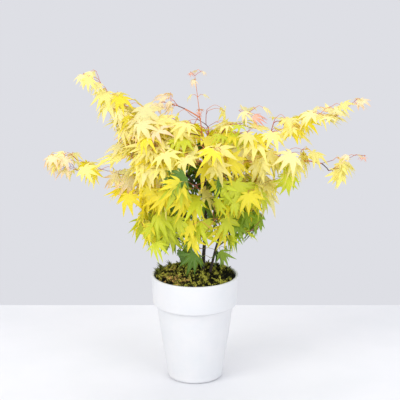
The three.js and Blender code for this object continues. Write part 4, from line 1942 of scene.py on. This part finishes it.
    def try_leaf(self, spray: Spray, out: Vector, side: float, shrink: float) -> Leaf:
        """One way that a leaf might hang from a spray.

        Args:
            spray: The spray.
            out: The way out of the plant there.
            side: -1 or 1 for the leaves of a pair, 0 for one at a twig's end.
            shrink: How much smaller than usual the leaf is.

        Returns:
            The leaf.
        """
        draw, dress = self.draw, spray.mass.dress
        flat = heading(math.atan2(out.y, out.x) + (side * draw.uniform(0.5, 1.5) + draw.gauss(0, 0.35)))
        size = dress.blade * draw.uniform(0.78, 1.14) * shrink
        long = size * draw.uniform(0.35, 0.75)
        lift = draw.uniform(0.0, 0.7)
        bow = spray.place + flat * long * 0.5 + UP * long * lift * 0.6
        base = spray.place + flat * long * 0.95 + UP * long * (lift * 0.5 - 0.15)
        facing = max(0.0, out.dot(self.light) + 0.6)
        droop = math.radians(90 * min(max(dress.hang + draw.gauss(0, 0.16), 0.0), 1.05))
        hang = flat * math.cos(droop) - UP * math.sin(droop)
        face = flat * math.sin(droop) + UP * math.cos(droop) + self.light * 0.7 * facing
        face = face + Vector(draw.gauss(0, 0.25) for _ in range(3))
        face = unit(face - hang * face.dot(hang))
        hang.rotate(Matrix.Rotation(draw.gauss(0, 0.35), 3, face))
        young = draw.random() < dress.young
        form = draw.choice(YOUNG if young else HUNG if draw.random() < dress.hang * 0.7 else SPREAD)
        stalk = [spray.place.copy(), bow, base]
        return Leaf(base, hang, face, size, form, spray.tint, stalk, spray.mass.node)

    def fault(self, leaf: Leaf, dress: Dress) -> tuple[float, float]:
        """How badly a leaf would sit.

        Args:
            leaf: The leaf.
            dress: How its mass is dressed.

        Returns:
            A cost, and how far it stands out of the masses.
        """
        side = leaf.hang.cross(leaf.face)
        stands = 0.0
        middle = leaf.middle()
        cost = self.closed(middle) * self.gap_cost[self.behind(middle)]
        slack = dress.reach * self.slack
        for angle, long in FAN:
            way = (leaf.hang * math.cos(angle) + side * math.sin(angle)) * leaf.size * long
            tip = leaf.base + way - leaf.face * leaf.size * 0.2 * long
            gap = self.volume.outside(tip)
            stands = max(stands, gap)
            closed = max(self.closed(tip), self.closed(leaf.base + way * 0.5))
            cost += max(0.0, gap - slack) + closed * self.tip_cost[self.behind(tip)]
        gaps = np.linalg.norm(self.middles[:len(self.leaves) + 1] - np.array(middle), axis=1)
        crowd = float(np.maximum(self.crowd - gaps, 0.0).sum())
        return cost * 1.3 + crowd * 1.1 - leaf.size * 0.35, stands

    def hang_leaf(self, spray: Spray, side: float) -> None:
        """Hangs the best of several leaves, or none where nothing fits.

        Args:
            spray: The spray.
            side: -1 or 1 for the leaves of a pair, 0 for one at a twig's end.
        """
        best, least = None, math.inf
        self.draw = self.draws[spray.mass.node]
        out = self.outward(spray.place, spray.mass)
        for i in range(self.tries):
            leaf = self.try_leaf(spray, out, side, 1.0 - self.shrink * i)
            cost, stands = self.fault(leaf, spray.mass.dress)
            if stands <= spray.mass.dress.reach and cost < least:
                best, least = leaf, cost
        if best is None:
            return
        behind = self.behind(best.base)
        if self.closed(best.base if behind else best.middle()) < self.gap_limit[behind]:
            self.keep(best)

    def keep(self, leaf: Leaf) -> None:
        """Keeps a leaf."""
        self.middles[len(self.leaves)] = leaf.middle()
        self.leaves.append(leaf)

    def leader_leaves(self) -> None:
        """Hangs pairs of tiny young leaves on the bare shoot atop the trunk."""
        level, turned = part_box("foliage_top_left")[1][2] - 0.01, 0.0
        for place in self.leader:
            if place.z < level:
                continue
            level, turned = place.z + 0.024, turned + math.pi / 2
            for side in (0.0, math.pi):
                flat = heading(turned + side + self.draw.uniform(-0.3, 0.3))
                size = self.draw.uniform(0.012, 0.021)
                bow = place + flat * size * 0.3 + UP * size * 0.3
                base = place + flat * size * 0.6 + UP * size * 0.25
                face = unit(UP * 0.7 + flat * 0.5 + self.light * 0.4)
                hang = unit(flat * 0.9 - UP * 0.3)
                hang = unit(hang - face * hang.dot(face))
                tint = self.draw.choice((Tint.ROSE, Tint.BLUSH, Tint.CREAM))
                form = self.draw.choice(YOUNG)
                self.keep(Leaf(base, hang, face, size, form, tint, [place, bow, base], "foliage_leader_tuft"))

    def leaf_tree(self) -> Tree:
        """The tree that hangs a leaf's form at every point.

        Returns:
            The tree.
        """
        draft = Recipe("hung_leaves", Forms=("Collection", None), Scale=("Float", 1.0))
        size = draft.maths("MULTIPLY", draft.stored("size"), draft.given["Scale"])
        return draft.close(draft.stand(
            "Forms", draft.given["Geometry"], Scale=size, Instance_Index=draft.stored("form", "INT"),
            Rotation=draft.stored("turn", "FLOAT_VECTOR")))

    def build(self, tubes: Tree) -> None:
        """Makes a piece of leaves for each tint and one of stalks for each kind.

        Args:
            tubes: The tree that makes tubes.
        """
        owners = {}
        for mass in self.volume.masses:
            counts = Counter(leaf.tint for leaf in self.leaves if leaf.node == mass.node)
            owners[mass.node] = counts.most_common(1)[0][0] if counts else Tint.LEMON
        tree = self.leaf_tree()
        with shelf("leaf_forms", [form.build(f"form_{i}") for i, form in enumerate(LEAF_FORMS)]) as forms:
            for tint in Tint:
                mine = [leaf for leaf in self.leaves if leaf.tint is tint]
                points = mesh_of(f"points_{tint.key}", [leaf.base for leaf in mine], [], [])
                write_numbers(points, "turn", [tuple(leaf.turn()) for leaf in mine], "FLOAT_VECTOR")
                write_numbers(points, "size", [leaf.size for leaf in mine])
                write_numbers(points, "form", [leaf.form for leaf in mine], "INT")
                write_numbers(points, "tone", [self.draw.random() for _ in mine])
                run_tree(tree, link_mesh(points.name, points), f"leaves_{tint.key}",
                         {"Forms": forms, "Finish": LeafFinish(tint).make()}, tint.value[2],
                         [node for node, owner in owners.items() if owner is tint])
        for name, green, colours in (
                ("red_stalks", False, (paint(206, 112, 76), paint(226, 148, 96), paint(232, 150, 110))),
                ("green_stalks", True, (paint(132, 120, 44), paint(176, 160, 70), paint(176, 160, 70)))):
            lines = [smooth_line(leaf.stalk, [0.00055, 0.0004, 0.00042], 0.006)
                     for leaf in self.leaves if (leaf.tint in (Tint.LIME, Tint.GREEN, Tint.SHADE)) is green]
            run_tree(tubes, line_mesh(f"{name}_lines", lines), name, {
                "Sides": 5, "Relief": 0.0, "Finish": BarkFinish(name, *colours, rough=0.45).make()}, "bark")


@dataclass
class Studio:
    """The floor, the light and the camera.

    Attributes:
        floor_back: How far back the floor reaches.
        floor_front: How far forward it reaches.
        floor_half: Half its width.
        eye: Where the camera stands.
        aim: What it looks at.
        lens: Its focal length in millimetres, on a sensor 36 mm wide.
    """

    floor_back: float = 0.424
    floor_front: float = 1.1
    floor_half: float = 1.4
    eye: Vector = field(default_factory=lambda: Vector((0.0099, -2.2772, 0.9482)))
    aim: Vector = field(default_factory=lambda: Vector((0.0099, 0.0, 0.3677)))
    lens: float = 107.1

    def floor(self) -> None:
        """Lays the plain pale floor."""
        corners = [(x, y, z) for z in (-0.02, -0.0002) for y in (-self.floor_front, self.floor_back)
                   for x in (-self.floor_half, self.floor_half)]
        faces = [(0, 2, 3, 1), (4, 5, 7, 6), (0, 1, 5, 4), (1, 3, 7, 5), (3, 2, 6, 7), (2, 0, 4, 6)]
        slab = link_mesh("floor", mesh_of("floor", corners, [], faces))
        draft = Surface("pale_floor")
        cloud = draft.grain(5.0, 4.0)
        colour = draft.blend(draft.spread(cloud, 0.3, 0.7), paint(230, 230, 233), paint(224, 225, 228))
        slab.data.materials.append(draft.wear(colour, draft.spread(cloud, 0.3, 0.7, 0.55, 0.7)))

    def lamp(self, name: str, place: Vector, size: float, power: float, colour: Colour) -> None:
        """Hangs one soft lamp that looks at the plant.

        Args:
            name: Its name.
            place: Where it hangs.
            size: The width of its panel.
            power: Its power in watts.
            colour: Its colour.
        """
        light = bpy.data.lights.new(name, "AREA")
        light.size, light.energy, light.color = size, power, colour[:3]
        self.hang(light, place)

    def hang(self, data: bpy.types.ID, place: Vector) -> Piece:
        """Hangs a lamp or a camera that looks at the plant.

        Args:
            data: The lamp or the camera.
            place: Where it hangs.

        Returns:
            Its object.
        """
        thing = bpy.data.objects.new(data.name, data)
        thing.location = place
        thing.rotation_euler = (self.aim - place).to_track_quat("-Z", "Y").to_euler()
        bpy.context.scene.collection.objects.link(thing)
        return thing

    def build(self) -> None:
        """Sets up the floor, the lamps, the sky and the camera."""
        self.floor()
        self.lamp("key", Vector((-2.0, -1.6, 2.1)), 1.2, 29.0, paint(255, 253, 248))
        self.lamp("front", Vector((-1.2, -2.5, 1.4)), 2.4, 24.0, paint(253, 253, 252))
        self.lamp("fill", Vector((1.7, -1.9, 1.4)), 1.8, 24.0, paint(248, 250, 255))
        self.lamp("top", Vector((0.2, 0.9, 2.4)), 1.8, 16.0, paint(255, 254, 250))
        world = bpy.data.worlds.new("studio")
        world.use_nodes = True
        sky = world.node_tree.nodes["Background"]
        sky.inputs["Color"].default_value = paint(222, 223, 229)
        sky.inputs["Strength"].default_value = 1.0
        scene = bpy.context.scene
        scene.world = world
        scene.view_settings.view_transform = "Standard"
        lens = bpy.data.cameras.new("camera")
        lens.lens, lens.sensor_width = self.lens, 36.0
        scene.camera = self.hang(lens, self.eye)


def main() -> None:
    """Builds the pot, the moss, the wood, the leaves and the studio in order."""
    logging.basicConfig(level=logging.INFO, format="%(message)s")
    Flowerpot().build()
    MossBed().build()
    tubes = tube_tree()
    limbs = LimbWork()
    limbs.read()
    limbs.build(tubes)
    foliage = Foliage(limbs.wood, limbs.leader)
    sprays = foliage.sprays()
    grower = TwigGrower(limbs.wood)
    grower.grow(sprays)
    grower.build(tubes)
    for spray in sprays:
        for side in (-1.0, 1.0):
            foliage.hang_leaf(spray, side)
    foliage.leader_leaves()
    LOG.info("%d sprays, %d leaves", len(sprays), len(foliage.leaves))
    foliage.build(tubes)
    Studio().build()


if __name__ == "__main__":
    main()
